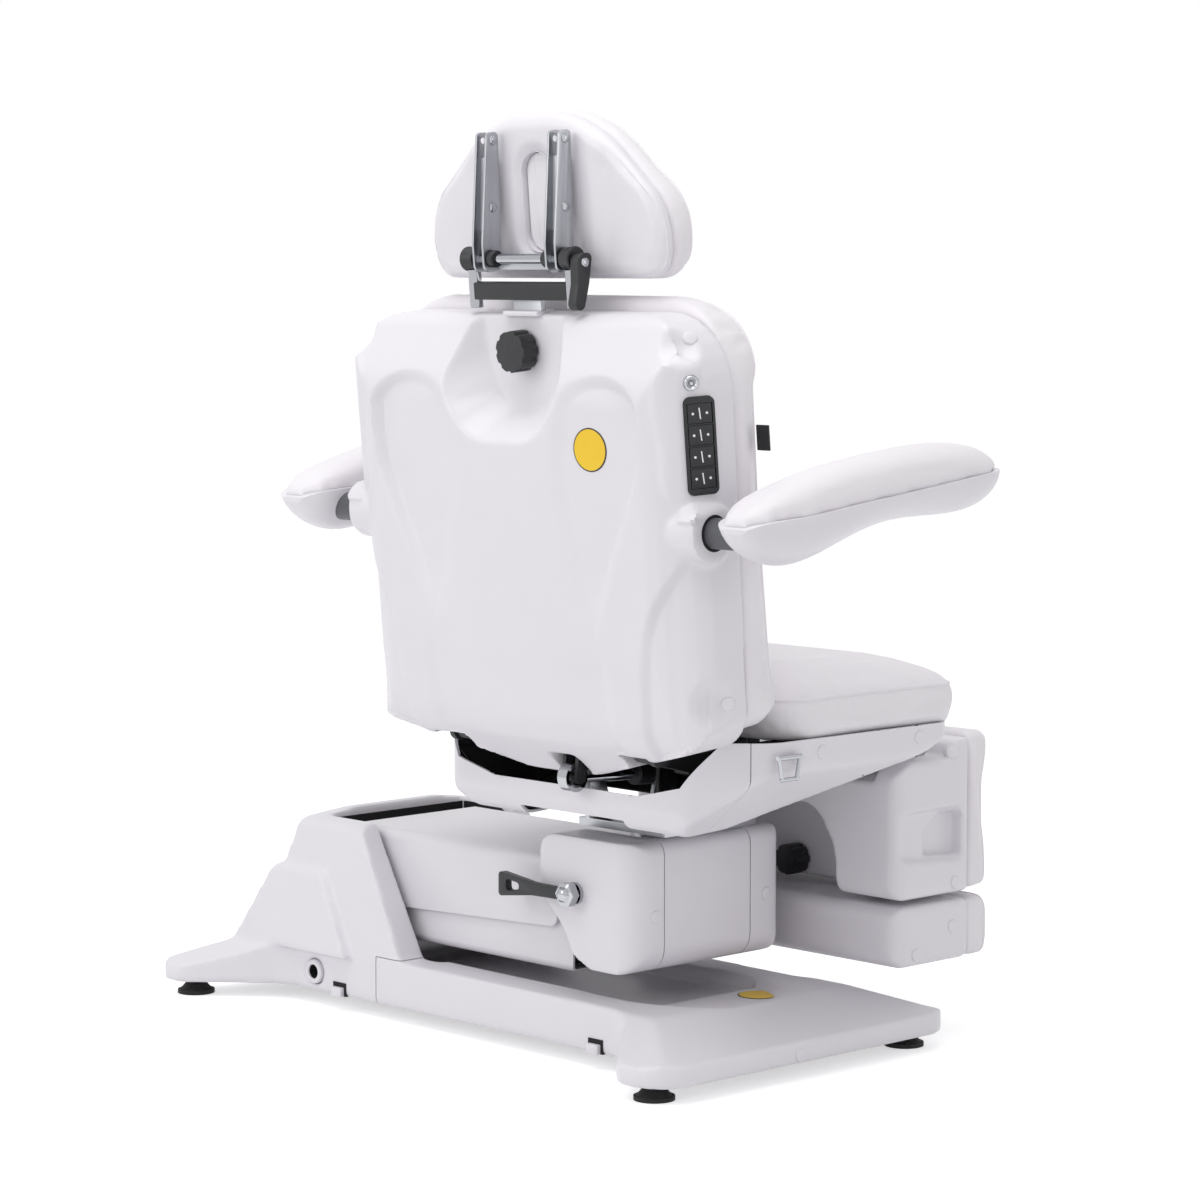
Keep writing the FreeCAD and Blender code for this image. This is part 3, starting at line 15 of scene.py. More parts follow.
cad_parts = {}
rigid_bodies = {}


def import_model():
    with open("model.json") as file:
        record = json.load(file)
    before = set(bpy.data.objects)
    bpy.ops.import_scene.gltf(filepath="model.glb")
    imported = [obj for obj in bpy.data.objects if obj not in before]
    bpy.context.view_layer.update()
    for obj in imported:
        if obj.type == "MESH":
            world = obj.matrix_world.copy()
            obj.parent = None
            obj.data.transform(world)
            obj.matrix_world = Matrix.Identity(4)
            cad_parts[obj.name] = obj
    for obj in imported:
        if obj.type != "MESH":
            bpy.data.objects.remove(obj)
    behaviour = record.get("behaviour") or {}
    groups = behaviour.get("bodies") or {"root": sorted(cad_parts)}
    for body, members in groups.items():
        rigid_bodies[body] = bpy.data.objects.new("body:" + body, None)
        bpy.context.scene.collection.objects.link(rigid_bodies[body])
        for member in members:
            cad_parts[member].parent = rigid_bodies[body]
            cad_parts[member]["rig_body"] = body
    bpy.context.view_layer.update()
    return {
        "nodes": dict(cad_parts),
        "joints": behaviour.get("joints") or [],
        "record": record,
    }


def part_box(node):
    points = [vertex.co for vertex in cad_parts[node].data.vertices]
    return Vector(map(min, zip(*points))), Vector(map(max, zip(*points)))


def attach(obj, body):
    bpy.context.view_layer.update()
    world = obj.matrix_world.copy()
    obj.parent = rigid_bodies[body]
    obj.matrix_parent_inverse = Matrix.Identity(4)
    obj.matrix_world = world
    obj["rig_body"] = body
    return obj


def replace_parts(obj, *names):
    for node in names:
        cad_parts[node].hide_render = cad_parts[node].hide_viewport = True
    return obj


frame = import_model()
scene = bpy.context.scene
scene.view_settings.view_transform = "Standard"
NODES = frame["nodes"]
PIVOT = {joint["name"]: Vector(joint["pos_m"]) for joint in frame["joints"]}
print("nodes:", len(NODES), "joints:", len(PIVOT))

# %% [markdown]
# Every piece is drawn in millimetres from the swivel axis, because that is how the chair is measured, and
# the back and the headrest are drawn upright and then leaned. One matrix for each turns a drawing into
# metres in the frame.

# %% Drawing frames
MM = 0.001
AXIS = Vector((PIVOT["swivel"].x, PIVOT["swivel"].y, 0))
LEAN = math.radians(5)
SIDES = (-1, 1)
UP = Vector((0, 0, 1))
SIDEWAYS = Vector((1, 0, 0))
REARWARD = Vector((0, 1, 0))
CHAIR = Matrix.Translation(AXIS) @ Matrix.Scale(MM, 4)
BACK = Matrix.Translation(PIVOT["back_recline"]) @ Matrix.Rotation(-LEAN, 4, "X") @ Matrix.Scale(MM, 4)

# %% [markdown]
# The camera stands behind the chair's right side, a little above it, far enough away for the lines to run
# almost parallel. Its place and lens were worked out from the photograph's vanishing lines.

# %% Camera
CAMERA_AT = AXIS + Vector((-3.2857, 3.2350, 0.9899))
CAMERA_TURN = math.radians(43.5)
CAMERA_PITCH = math.radians(5.25)
LENS = 111.0
SENSOR = 36.0
CLIP_END = 60
LEVEL = math.cos(CAMERA_PITCH)
ahead = Vector((math.cos(CAMERA_TURN) * LEVEL, -math.sin(CAMERA_TURN) * LEVEL, -math.sin(CAMERA_PITCH)))
camera = bpy.data.objects.new("camera", bpy.data.cameras.new("camera"))
scene.collection.objects.link(camera)
camera.data.lens = LENS
camera.data.sensor_width = SENSOR
camera.data.clip_end = CLIP_END
camera.location = CAMERA_AT
camera.rotation_euler = ahead.to_track_quat("-Z", "Y").to_euler()
scene.camera = camera
print("camera at", [round(c, 3) for c in CAMERA_AT])

# %% [markdown]
# Colours are written as sRGB hex values, the way a colour card gives them, and one function makes them
# linear. Another adds a node with its settings and links, so that a material reads as a short list of
# steps.

# %% Colour and node helpers
DRIFT_SIZE, DRIFT_DETAIL = 0.09, 4.0
GRAIN_DETAIL, GRAIN_ROUGHNESS, GRAIN_STRENGTH = 3.0, 0.6, 0.5
MIX_A, MIX_B, MIX_RESULT = 6, 7, 2


def linear(hex_colour):
    """sRGB hex to the linear colour that Blender works in."""
    parts = [int(hex_colour[i:i + 2], 16) / 255 for i in (0, 2, 4)]
    return [c / 12.92 if c <= 0.04045 else ((c + 0.055) / 1.055) ** 2.4 for c in parts] + [1.0]


def add(tree, kind, settings=None, links=None):
    """Add a node, set its sockets or properties, and link its inputs."""
    made = tree.nodes.new(kind)
    for key, value in (settings or {}).items():
        if isinstance(key, str) and hasattr(made, key):
            setattr(made, key, value)
        else:
            made.inputs[key].default_value = value
    for key, source in (links or {}).items():
        tree.links.new(source, made.inputs[key])
    return made


def finish(name, sockets, grain_mm, grain_depth, tints, roughness, stretch=(1, 1, 1)):
    """A surface with a fine grain, a slow drift between two tints, and a roughness that drifts too."""
    material = bpy.data.materials.new(name)
    material.use_nodes = True
    tree = material.node_tree
    shader = tree.nodes["Principled BSDF"]
    for key, value in sockets.items():
        shader.inputs[key].default_value = value
    place = add(tree, "ShaderNodeTexCoord").outputs["Object"]
    turned = add(tree, "ShaderNodeMapping", {"Scale": stretch}, {"Vector": place}).outputs["Vector"]
    drift = add(tree, "ShaderNodeTexNoise", {"Scale": 1 / DRIFT_SIZE, "Detail": DRIFT_DETAIL},
                {"Vector": place}).outputs["Fac"]
    fine = {"Scale": 1 / (grain_mm * MM), "Detail": GRAIN_DETAIL, "Roughness": GRAIN_ROUGHNESS}
    grain = add(tree, "ShaderNodeTexNoise", fine, {"Vector": turned}).outputs["Fac"]
    first, second = [linear(tint) for tint in tints]
    colour = add(tree, "ShaderNodeMix", {"data_type": "RGBA", MIX_A: first, MIX_B: second}, {0: drift})
    tree.links.new(colour.outputs[MIX_RESULT], shader.inputs["Base Color"])
    smoothest, roughest = roughness
    sheen = add(tree, "ShaderNodeMapRange", {"To Min": smoothest, "To Max": roughest}, {"Value": drift})
    tree.links.new(sheen.outputs["Result"], shader.inputs["Roughness"])
    bump = add(tree, "ShaderNodeBump", {"Strength": GRAIN_STRENGTH, "Distance": grain_depth * MM},
               {"Height": grain})
    tree.links.new(bump.outputs["Normal"], shader.inputs["Normal"])
    return material


# %% [markdown]
# The covers are ABS, vacuum formed and painted: a cool white with a satin skin, and a grain so fine that it
# only softens the highlights. It is drawn at 1.2 mm, coarser than it is, so that it still shows.

# %% Moulded plastics
white_abs = finish("white_painted_abs", {"IOR": 1.5, "Coat Weight": 0.08, "Coat Roughness": 0.25},
                   1.2, 0.05, ("E2DFE5", "E7E4E9"), (0.34, 0.42))
black_abs = finish("black_moulded_abs", {"IOR": 1.5}, 0.9, 0.08, ("17181B", "1F2023"), (0.38, 0.5))
foot_rubber = finish("black_foot_rubber", {"IOR": 1.52}, 1.6, 0.15, ("121213", "1B1B1C"), (0.7, 0.85))
yellow_vinyl = finish("yellow_vinyl_film", {"IOR": 1.5}, 2.0, 0.03, ("F0C21C", "F5CC2A"), (0.3, 0.4))
# The near-black finish below is painted shade: it darkens the insides of covers, gaps and holes where only
# shade falls.
shade_paint = finish("painted_shade_inside_covers", {"IOR": 1.45}, 2.0, 0.05, ("141416", "1C1C1F"), (0.8, 0.9))
print("plastics:", [m.name for m in (white_abs, black_abs, foot_rubber, yellow_vinyl, shade_paint)])

# %% [markdown]
# Metal comes in three kinds: chrome plate, almost a mirror; zinc-plated steel sheet, paler and streaked
# along the rolling direction; and powder-coated tube with an orange-peel skin.

# %% Metals
chrome = finish("chrome_plated_steel", {"Metallic": 1.0}, 3.0, 0.01, ("A6A8AD", "BBBDC1"), (0.07, 0.14))
ROLLED = (1, 1, 0.08)
zinc = finish("zinc_plated_steel", {"Metallic": 1.0}, 2.2, 0.04, ("A9ABB0", "BFC1C5"), (0.24, 0.38), ROLLED)
painted = finish("black_powder_coat", {"IOR": 1.5}, 1.5, 0.12, ("1A1B1D", "242528"), (0.42, 0.55))
grey_tube = finish("grey_powder_coat", {"IOR": 1.5}, 1.5, 0.12, ("4A4B50", "55565B"), (0.4, 0.52))
print("metals:", [m.name for m in (chrome, zinc, painted, grey_tube)])

# %% [markdown]
# The cushions are covered in white leatherette: PVC on a knitted cloth, embossed with a leather grain.
# Under the grain the cloth pulls into faint long creases, so two sizes of pattern make its bump. The grain
# cells are real at about 1.5 mm, and are drawn at 2.5 mm to be seen.

# %% Leatherette
CELL_MM, CELL_DEPTH = 2.5, 0.16
CREASE_MM, CREASE_DEPTH = 38, 2.2
EMBOSS = 0.35


def leatherette(name, tints):
    """Embossed sheet: small rounded cells, slow creases and a soft sheen at grazing angles."""
    material = finish(name, {"IOR": 1.46, "Sheen Weight": 0.06, "Sheen Roughness": 0.5}, CELL_MM, 0.05, tints,
                      (0.42, 0.55))
    tree = material.node_tree
    shader = tree.nodes["Principled BSDF"]
    place = add(tree, "ShaderNodeTexCoord").outputs["Object"]
    cells = add(tree, "ShaderNodeTexVoronoi", {"feature": "SMOOTH_F1", "Scale": 1 / (CELL_MM * MM)},
                {"Vector": place})
    slow = {"Scale": 1 / (CREASE_MM * MM), "Detail": 2.0, "Distortion": 0.6}
    crease = add(tree, "ShaderNodeTexNoise", slow, {"Vector": place})
    first = add(tree, "ShaderNodeBump", {"Strength": EMBOSS, "Distance": CELL_DEPTH * MM},
                {"Height": cells.outputs["Distance"]})
    second = add(tree, "ShaderNodeBump", {"Strength": EMBOSS, "Distance": CREASE_DEPTH * MM},
                 {"Height": crease.outputs["Fac"], "Normal": first.outputs["Normal"]})
    tree.links.new(second.outputs["Normal"], shader.inputs["Normal"])
    return material


hide_white = leatherette("white_leatherette", ("E9E5EA", "EEEBEF"))
print("cover:", hide_white.name)

# %% [markdown]
# Each solid of the frame gets the finish of its slot first. Whatever a later cell replaces is hidden then,
# and the rest, such as the rails and the actuators inside, keeps this finish. Pairs of a finish and its
# slot serve the pieces that are made later.

# %% Finishes on the frame
SLOT_FINISH = {"white_shell": white_abs, "white_upholstery": hide_white, "painted_frame": painted,
               "black_plastic": black_abs, "chrome": chrome, "zinc_steel": zinc, "grey_tube": grey_tube,
               "foot_rubber": foot_rubber}
WHITE, CHROME = (white_abs, "white_shell"), (chrome, "chrome")
# The second pair below carries the painted shade, put where the chair lies in shade.
BLACK, PAINTED_SHADE = (black_abs, "black_plastic"), (shade_paint, "black_plastic")
HIDE = (hide_white, "white_upholstery")
NODE_SLOT = {part["node"]: part["material_slot"] for part in frame["record"]["subparts"]}
for node_name, node in NODES.items():
    node.data.materials.clear()
    node.data.materials.append(SLOT_FINISH[NODE_SLOT[node_name]])
print("finished nodes:", len(NODE_SLOT))

# %% [markdown]
# A moulded cover is the common part of three outlines: one seen from the side, one from the end and one
# from above. So the first tool draws an outline from a few corners, rounds them with a vertex bevel and
# extrudes it, and the second cuts one such block with another. An outline could also be drawn with curves,
# but blocks can be cut and then skinned.

# %% Block tools
ARC_STEPS = 7
ROUND = 0.5
RELAX = 0.5
TURN = {"x": lambda u, v, w: (w, u, v), "y": lambda u, v, w: (u, w, v), "z": lambda u, v, w: (u, v, w)}


def piece_from(name, shape):
    """A new object that holds a finished bmesh."""
    mesh = bpy.data.meshes.new(name)
    bmesh.ops.recalc_face_normals(shape, faces=shape.faces)
    shape.to_mesh(mesh)
    shape.free()
    piece = bpy.data.objects.new(name, mesh)
    scene.collection.objects.link(piece)
    return piece


def mesh_of(piece):
    """A bmesh with a copy of a piece's mesh."""
    shape = bmesh.new()
    shape.from_mesh(piece.data)
    return shape


def absorb(whole, part):
    """Add one bmesh to another. The part is used up."""
    mesh = bpy.data.meshes.new("part")
    part.to_mesh(mesh)
    part.free()
    whole.from_mesh(mesh)
    bpy.data.meshes.remove(mesh)


def cut_through(shape, point, normal, **keep):
    """Cut a bmesh along a plane and give the points and edges of the cut."""
    whole = shape.verts[:] + shape.edges[:] + shape.faces[:]
    return bmesh.ops.bisect_plane(shape, geom=whole, plane_co=point, plane_no=normal, **keep)["geom_cut"]


def rounded_face(shape, axis, corners, level):
    """A flat face whose corners (u, v, radius) are rounded."""
    points = [Vector(TURN[axis](c[0], c[1], level)) for c in corners]
    verts = [shape.verts.new(p) for p in points]
    face = shape.faces.new(verts)
    for index, (vert, corner) in enumerate(zip(verts, corners)):
        if len(corner) < 3:
            continue
        to_last = points[index - 1] - points[index]
        to_next = points[(index + 1) % len(points)] - points[index]
        tangent = corner[2] / math.tan(to_last.angle(to_next) / 2)
        bmesh.ops.bevel(shape, geom=[vert], offset=tangent, offset_type="OFFSET", segments=ARC_STEPS,
                        profile=ROUND, affect="VERTICES", material=-1)
    return shape.faces[:][0] if len(shape.faces) == 1 else face


def block(axis, corners, low, high):
    """Extrude an outline of corners (u, v, radius) along an axis."""
    shape = bmesh.new()
    face = rounded_face(shape, axis, corners, low)
    grown = bmesh.ops.extrude_face_region(shape, geom=[face])["geom"]
    verts = [g for g in grown if isinstance(g, bmesh.types.BMVert)]
    bmesh.ops.translate(shape, verts=verts, vec=TURN[axis](0, 0, high - low))
    return piece_from("block", shape)


def box(low, high):
    """A plain block between two corners, for cutting with."""
    (left, near, bottom), (right, far, top) = low, high
    return block("z", [(left, near), (right, near), (right, far), (left, far)], bottom, top)


def round_bar(start, end, radius, segments=40):
    """A round bar between two points."""
    start, end = Vector(start), Vector(end)
    along = end - start
    shape = bmesh.new()
    bmesh.ops.create_cone(shape, cap_ends=True, segments=segments, radius1=radius, radius2=radius,
                          depth=along.length)
    turn = along.to_track_quat("Z", "Y").to_matrix().to_4x4()
    bmesh.ops.transform(shape, matrix=Matrix.Translation((start + end) / 2) @ turn, verts=shape.verts)
    return piece_from("bar", shape)


def baked(piece):
    """Apply the piece's modifiers to its mesh."""
    graph = bpy.context.evaluated_depsgraph_get()
    mesh = bpy.data.meshes.new_from_object(piece.evaluated_get(graph))
    worn = piece.data
    piece.modifiers.clear()
    piece.data = mesh
    bpy.data.meshes.remove(worn)
    return piece


def carve(piece, tool, how="DIFFERENCE"):
    """Cut a piece with a tool, join it to it or keep what both share. The tool is used up."""
    cut = piece.modifiers.new("carve", "BOOLEAN")
    cut.operation = how
    cut.solver = "EXACT"
    cut.object = tool
    baked(piece)
    bpy.data.objects.remove(tool)
    return piece


def shared(*pieces):
    """What all the pieces have in common."""
    first = pieces[0]
    for other in pieces[1:]:
        carve(first, other, "INTERSECT")
    return first


def mirror_list(half):
    """The outline of a half and of its mirror image about u = 0."""
    return list(half) + [(-c[0], *c[1:]) for c in reversed(half)]


def mirror_second(half):
    """The outline of a half and of its mirror image about v = 0."""
    return list(half) + [(c[0], -c[1], *c[2:]) for c in reversed(half)]


def skin(piece, voxel, passes):
    """Lay one closed skin of small squares over a piece and relax it, which rounds its edges."""
    remesh = piece.modifiers.new("skin", "REMESH")
    remesh.mode = "VOXEL"
    remesh.voxel_size = voxel
    relax = piece.modifiers.new("relax", "SMOOTH")
    relax.factor = RELAX
    relax.iterations = passes
    return baked(piece)


def kept_side(piece, point, normal, fill=True):
    """Cut a piece with a plane and keep the side that the normal points away from."""
    shape = mesh_of(piece)
    cut = cut_through(shape, point, normal, clear_outer=True)
    if fill:
        bmesh.ops.holes_fill(shape, edges=[g for g in cut if isinstance(g, bmesh.types.BMEdge)])
    shape.to_mesh(piece.data)
    shape.free()
    return piece


def copied(piece, name):
    """A second object with its own copy of the mesh."""
    twin = bpy.data.objects.new(name, piece.data.copy())
    scene.collection.objects.link(twin)
    return twin


def settle(piece, name, matrix, body, finish_used, slot, *nodes, smooth_angle=35):
    """Give a piece its name, place, finish (None keeps its own), body and the nodes that it stands for."""
    piece.name = name
    piece.data.name = name
    piece.data.transform(matrix)
    if finish_used:
        piece.data.materials.clear()
        piece.data.materials.append(finish_used)
    piece.data.shade_smooth()
    piece.data.set_sharp_from_angle(angle=math.radians(smooth_angle))
    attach(piece, body)
    if nodes:
        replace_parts(piece, *nodes)
    print(name, len(piece.data.polygons), "faces")
    return piece


# %% [markdown]
# ## Base
# The base is a wide foot with a waist, moulded as a front and a rear cover. It is made as one form, so that
# its lines run through, and sawn apart at the seam. The tower at the rear holds the end of the lift arm in
# a channel.

# %% Base form
VOXEL = 4.0
SEAM_X = 378.0
SEAM_GAP = 1.8
BASE_PLAN = mirror_second([(-256, 262, 50), (-178, 262, 34), (-95, 163, 60), (565, 163, 60), (672, 264, 20),
                           (722, 262, 24), (694, 140, 70)])
BASE_SIDE = [(-256, 20), (-256, 46, 7), (-232, 53, 20), (-148, 79, 60), (378, 82), (630, 86, 40),
             (725, 45, 10), (725, 20)]
BASE_ENDS = mirror_list([(265, 20), (265, 44, 8), (236, 52, 30), (158, 82, 14)])
BASE_LEVELS, ACROSS, LENGTH, REAR_LENGTH = (20, 130), (-300, 300), (-400, 800), (200, 800)
base = shared(block("z", BASE_PLAN, *BASE_LEVELS), block("y", BASE_SIDE, *ACROSS),
              block("x", BASE_ENDS, *LENGTH))
RECESS = mirror_second([(-150, 62, 60), (-60, 105, 90), (430, 105)])
DISC_AT = (-100.0, -62.0, 71.0)
SHALLOW_END = -56.0
RECESS_FLOOR, RECESS_TOP = 60, 200
carve(base, block("z", RECESS, DISC_AT[2], RECESS_TOP))
DEEP_PART = (SHALLOW_END, -200, 0), (500, 200, 300)
carve(base, shared(block("z", RECESS, RECESS_FLOOR, RECESS_TOP), box(*DEEP_PART)))
TOWER_SIDE = [(326, 74), (430, 258, 24), (548, 258, 24), (625, 74)]
TOWER_ENDS = mirror_list([(163, 74), (149, 247, 16), (70, 258, 60)])
SHOULDER_SIDE = [(425, 74), (492, 185, 22), (590, 185, 22), (662, 74)]
SHOULDER_ENDS = mirror_list([(178, 74), (163, 185, 14)])
for from_side, from_end in ((TOWER_SIDE, TOWER_ENDS), (SHOULDER_SIDE, SHOULDER_ENDS)):
    form = shared(block("y", from_side, *ACROSS), block("x", from_end, *REAR_LENGTH))
    carve(base, form, "UNION")
CHANNEL = (300, -118, 62), (522, 118, 400)
carve(base, box(*CHANNEL))
INLET_X, INLET_Z, INLET_BORE = 505, 46, 17
carve(base, round_bar((INLET_X, 100, INLET_Z), (INLET_X, 300, INLET_Z), INLET_BORE))
skin(base, VOXEL, 6)
front = copied(base, "front")
FRONT_TOP = 83
kept_side(kept_side(front, (SEAM_X - SEAM_GAP, 0, 0), SIDEWAYS), (0, 0, FRONT_TOP), UP)
FRONT_ROOM = (-400, -400, 0), (SEAM_X, 400, FRONT_TOP + 1)
carve(base, box(*FRONT_ROOM))
settle(front, "base_front_skin", CHAIR, "base", *WHITE, "base_front_cover")
settle(base, "base_rear_skin", CHAIR, "base", *WHITE, "base_rear_cover")

# %% [markdown]
# ## Swivel head
# Two side shells and an end cover close round the head of the lift. They are sawn from one form too, after
# a room for the arm has been cut into it from the tower's side.

# %% Swivel head
HEAD_SIDE = [(-72, 113, 32), (-72, 278, 18), (106, 278, 40), (106, 214, 16), (52, 158, 60), (38, 128, 24),
             (6, 113, 20)]
HEAD_PLAN = [(-72, 130, 34), (106, 130, 18), (106, -130, 18), (-72, -130, 12)]
HEAD_HALF, NECK_RADIUS = 130, 56
head = shared(block("y", HEAD_SIDE, -HEAD_HALF, HEAD_HALF), block("z", HEAD_PLAN, 0, 400))
ARM_ROOM = (-24, -117, 0), (200, 117, 271)
carve(head, box(*ARM_ROOM))
carve(head, round_bar((0, 0, 200), (0, 0, 300), NECK_RADIUS))
FINE_VOXEL = 3.0
skin(head, FINE_VOXEL, 6)
HEAD_SEAM = 76.7
right_head = kept_side(copied(head, "right_head"), (0, HEAD_SEAM, 0), -REARWARD)
left_head = kept_side(copied(head, "left_head"), (0, -HEAD_SEAM, 0), REARWARD)
END_HALF, END_DEPTH = HEAD_SEAM - SEAM_GAP, -30
end_head = kept_side(kept_side(head, (0, END_HALF, 0), REARWARD), (0, -END_HALF, 0), -REARWARD)
kept_side(end_head, (END_DEPTH, 0, 0), SIDEWAYS)
# The near-black block below sits behind the seams between the end cover and the side shells: painted shade,
# so that the seams read dark.
HEAD_CORE = [(-68, 117, 28), (-68, 274, 14), (-44, 274), (-44, 117)]
CORE_ROOM = [(-62, 123, 22), (-62, 268, 8), (-20, 268), (-20, 123)]
core = block("y", HEAD_CORE, -HEAD_SEAM - 3, HEAD_SEAM + 3)
carve(core, block("y", CORE_ROOM, -200, 200))
settle(core, "head_seam_painted_shade", CHAIR, "swivel_head", *PAINTED_SHADE)
HEAD_SHELLS = ((right_head, "right", "shell"), (left_head, "left", "shell"), (end_head, "end", "cover"))
for shell, where, kind in HEAD_SHELLS:
    settle(shell, f"head_{where}_skin", CHAIR, "swivel_head", *WHITE, f"head_{where}_{kind}")

# %% [markdown]
# ## Leg rest and foot rest casings
# Both casings are boxes with soft corners. The leg casing has an arched hollow at the rear for the clamp
# knob and a shallow grip on each side. They stay solid but for the rooms in which the rails and the lift
# rod move.

# %% Leg and foot casings
LEG_SIDE = [(-300, 192), (-168, 192, 16), (-168, 366, 30), (-262, 366, 6), (-272, 386, 10), (-300, 390)]
LEG_PLAN = mirror_list([(240, -300), (240, -168, 22)])
LEG_ENDS = mirror_list([(240, 192, 10), (240, 400)])
LEG_ARCH = mirror_list([(136, 162), (128, 250, 40), (96, 302, 40)])
GRIP = [(-286, 234, 6), (-176, 243, 6), (-176, 302, 6), (-284, 304, 6)]
GRIP_POCKET = [(-288, 241, 6), (-222, 245, 6), (-222, 278, 6), (-250, 297, 6), (-288, 297, 6)]
casing = shared(block("x", LEG_SIDE, -400, 400), block("z", LEG_PLAN, 0, 500), block("y", LEG_ENDS, -400, 0))
ARCH_DEPTH = (-243, -100)
GRIPS = ((GRIP, 232), (GRIP_POCKET, 219))
RAIL_ROOMS = ((169, 27, (-290, 340), (-150, 440)), (120, 14, (-276, 150), (-248, 352)))
ROD_ROOM = (5, -252, 300), (55, -150, 440)
KNOB_HEIGHT, KNOB_BORE = 214, 13
carve(casing, block("y", LEG_ARCH, *ARCH_DEPTH))
for side in SIDES:
    for outline, deep in GRIPS:
        carve(casing, block("x", outline, *sorted((side * deep, side * 260))))
    for middle, half, low, high in RAIL_ROOMS:
        carve(casing, box((side * middle - half, *low), (side * middle + half, *high)))
carve(casing, box(*ROD_ROOM))
carve(casing, round_bar((0, -280, KNOB_HEIGHT), (0, -150, KNOB_HEIGHT), KNOB_BORE))
skin(casing, FINE_VOXEL, 4)
settle(casing, "leg_casing_skin", CHAIR, "leg", *WHITE, "leg_casing")
FOOT_SIDE = [(-300, 106), (-168, 106, 18), (-168, 184, 18), (-300, 184)]
FOOT_ENDS = mirror_list([(240, 106, 14), (240, 184, 10)])
FOOT_VOXEL = 3.5
foot = shared(block("x", FOOT_SIDE, -400, 400), block("z", LEG_PLAN, 0, 500), block("y", FOOT_ENDS, -400, 0))
skin(foot, FOOT_VOXEL, 4)
settle(foot, "foot_casing_skin", CHAIR, "foot", *WHITE, "foot_casing")

# %% [markdown]
# ## Seat pan
# The pan tapers in under the seat, and its bottom is cut away for the tilt lugs and the back hinge. Its
# skin is opened at the top and given a wall, because the frame and two actuators move inside.

# %% Seat pan
PAN_SIDE = [(158, 302, 20), (176, 332, 10), (176, 440), (-226, 440), (-226, 408), (-168, 384, 40),
            (-60, 352, 80), (92, 306, 60)]
PAN_ENDS = mirror_list([(178, 296, 12), (282, 384, 20), (288, 440)])
PAN_PLAN = mirror_list([(288, -226, 46), (288, 100, 70), (206, 176, 40)])
PAN_TOP = 421.0
PAN_SEAM = 122.0
pan = shared(block("x", PAN_SIDE, -400, 400), block("y", PAN_ENDS, -400, 400), block("z", PAN_PLAN, 200, 600))
skin(pan, VOXEL, 6)
kept_side(pan, (0, 0, PAN_TOP), UP, fill=False)


def opened(piece, planes):
    """Cut a skin along planes (point, normal) and take out the faces that lie in front of them all."""
    shape = mesh_of(piece)
    for point, normal in planes:
        cut_through(shape, point, normal)
    inside = [f for f in shape.faces if all(
        (f.calc_center_median() - Vector(point)).dot(Vector(normal)) > 0 for point, normal in planes)]
    bmesh.ops.delete(shape, geom=inside, context="FACES")
    shape.to_mesh(piece.data)
    shape.free()
    return piece


def room(low, high):
    """The six planes of a box, facing inwards."""
    return [(low, (1, 0, 0)), (low, (0, 1, 0)), (low, (0, 0, 1)),
            (high, (-1, 0, 0)), (high, (0, -1, 0)), (high, (0, 0, -1))]


LIFT_ROOM = (-96, -150, 200), (96, 112, 400)
HINGE_ROOM = (-92, 100, 200), (92, 300, 315)
LUG_X, LUG_HALF = 164, 26
opened(pan, room(*LIFT_ROOM))
opened(pan, room(*HINGE_ROOM))
for side in SIDES:
    opened(pan, room((side * LUG_X - LUG_HALF, -262, 366), (side * LUG_X + LUG_HALF, -80, 407)))
GAP_FRONT, GAP_LOW = 120, 350
GAP_EDGES = ((130, GAP_LOW, -16, 68), (198, 366, -74, 56))
gap = [((0, GAP_FRONT, 0), REARWARD), ((0, 0, GAP_LOW), UP)]
for reach, height, lean, rise in GAP_EDGES:
    gap += [((side * reach, 0, height), (side * lean, 0, rise)) for side in (1, -1)]
opened(pan, gap)
rear_pan = copied(pan, "rear_pan")
HALF_GAP = 0.3
kept_side(pan, (0, PAN_SEAM - HALF_GAP, 0), REARWARD, fill=False)
kept_side(rear_pan, (0, PAN_SEAM + HALF_GAP, 0), -REARWARD, fill=False)
# The inner faces of the wall below take the second finish, painted shade, so that the inside of the pan reads
# dark.
WALL = 3.5
PAN_SHELLS = ((pan, "seat_pan_skin", "seat_pan"), (rear_pan, "pan_rear_skin", "pan_rear_cover"))
for shell, name, node_name in PAN_SHELLS:
    wall = shell.modifiers.new("wall", "SOLIDIFY")
    wall.thickness = WALL
    wall.offset = -1
    wall.material_offset = 1
    shell.data.materials.append(white_abs)
    shell.data.materials.append(shade_paint)
    baked(shell)
    settle(shell, name, CHAIR, "seat", None, "white_shell", node_name)
# A thin near-black sheet of painted shade closes the view into the pan's shaded inside.
PAN_SHADE_SHEET = [(34, 326), (34, 328), (-8, 339.4), (-8, 337.4)]
settle(block("x", PAN_SHADE_SHEET, -94, 94), "pan_shade_sheet", CHAIR, "seat", *PAINTED_SHADE)

# %% [markdown]
# ## Back shell
# The back is the chair's main face from behind. Its broad form comes from three outlines again, with a
# scoop cut at the top. The dishes, the flowing creases and the raised side panels are then drawn by moving
# the skin's points in and out, the way a modeller would rub them into clay.

# %% Back form
BACK_FRONT = mirror_list([(60, -38, 150), (293, 22, 46), (303, 524, 88)])
BACK_PLAN = mirror_list([(303, -38), (303, 62, 84)])
BACK_SIDE = [(-38, -58), (-8, -58), (-4, -36, 20), (54, 24, 60), (60, 120, 200), (60, 440, 90), (16, 524, 30),
             (-38, 526)]
back = shared(block("y", BACK_FRONT, -38, 200), block("z", BACK_PLAN, -200, 700),
              block("x", BACK_SIDE, -400, 400))
SCOOP_FLOOR = [(38, 410, 38), (66, 470, 60), (84, 640)]
SCOOP_RIM = [(60, 372, 60), (112, 430, 60), (128, 640)]
FLOOR_AT = 7.0
RIM_AT = 66.0


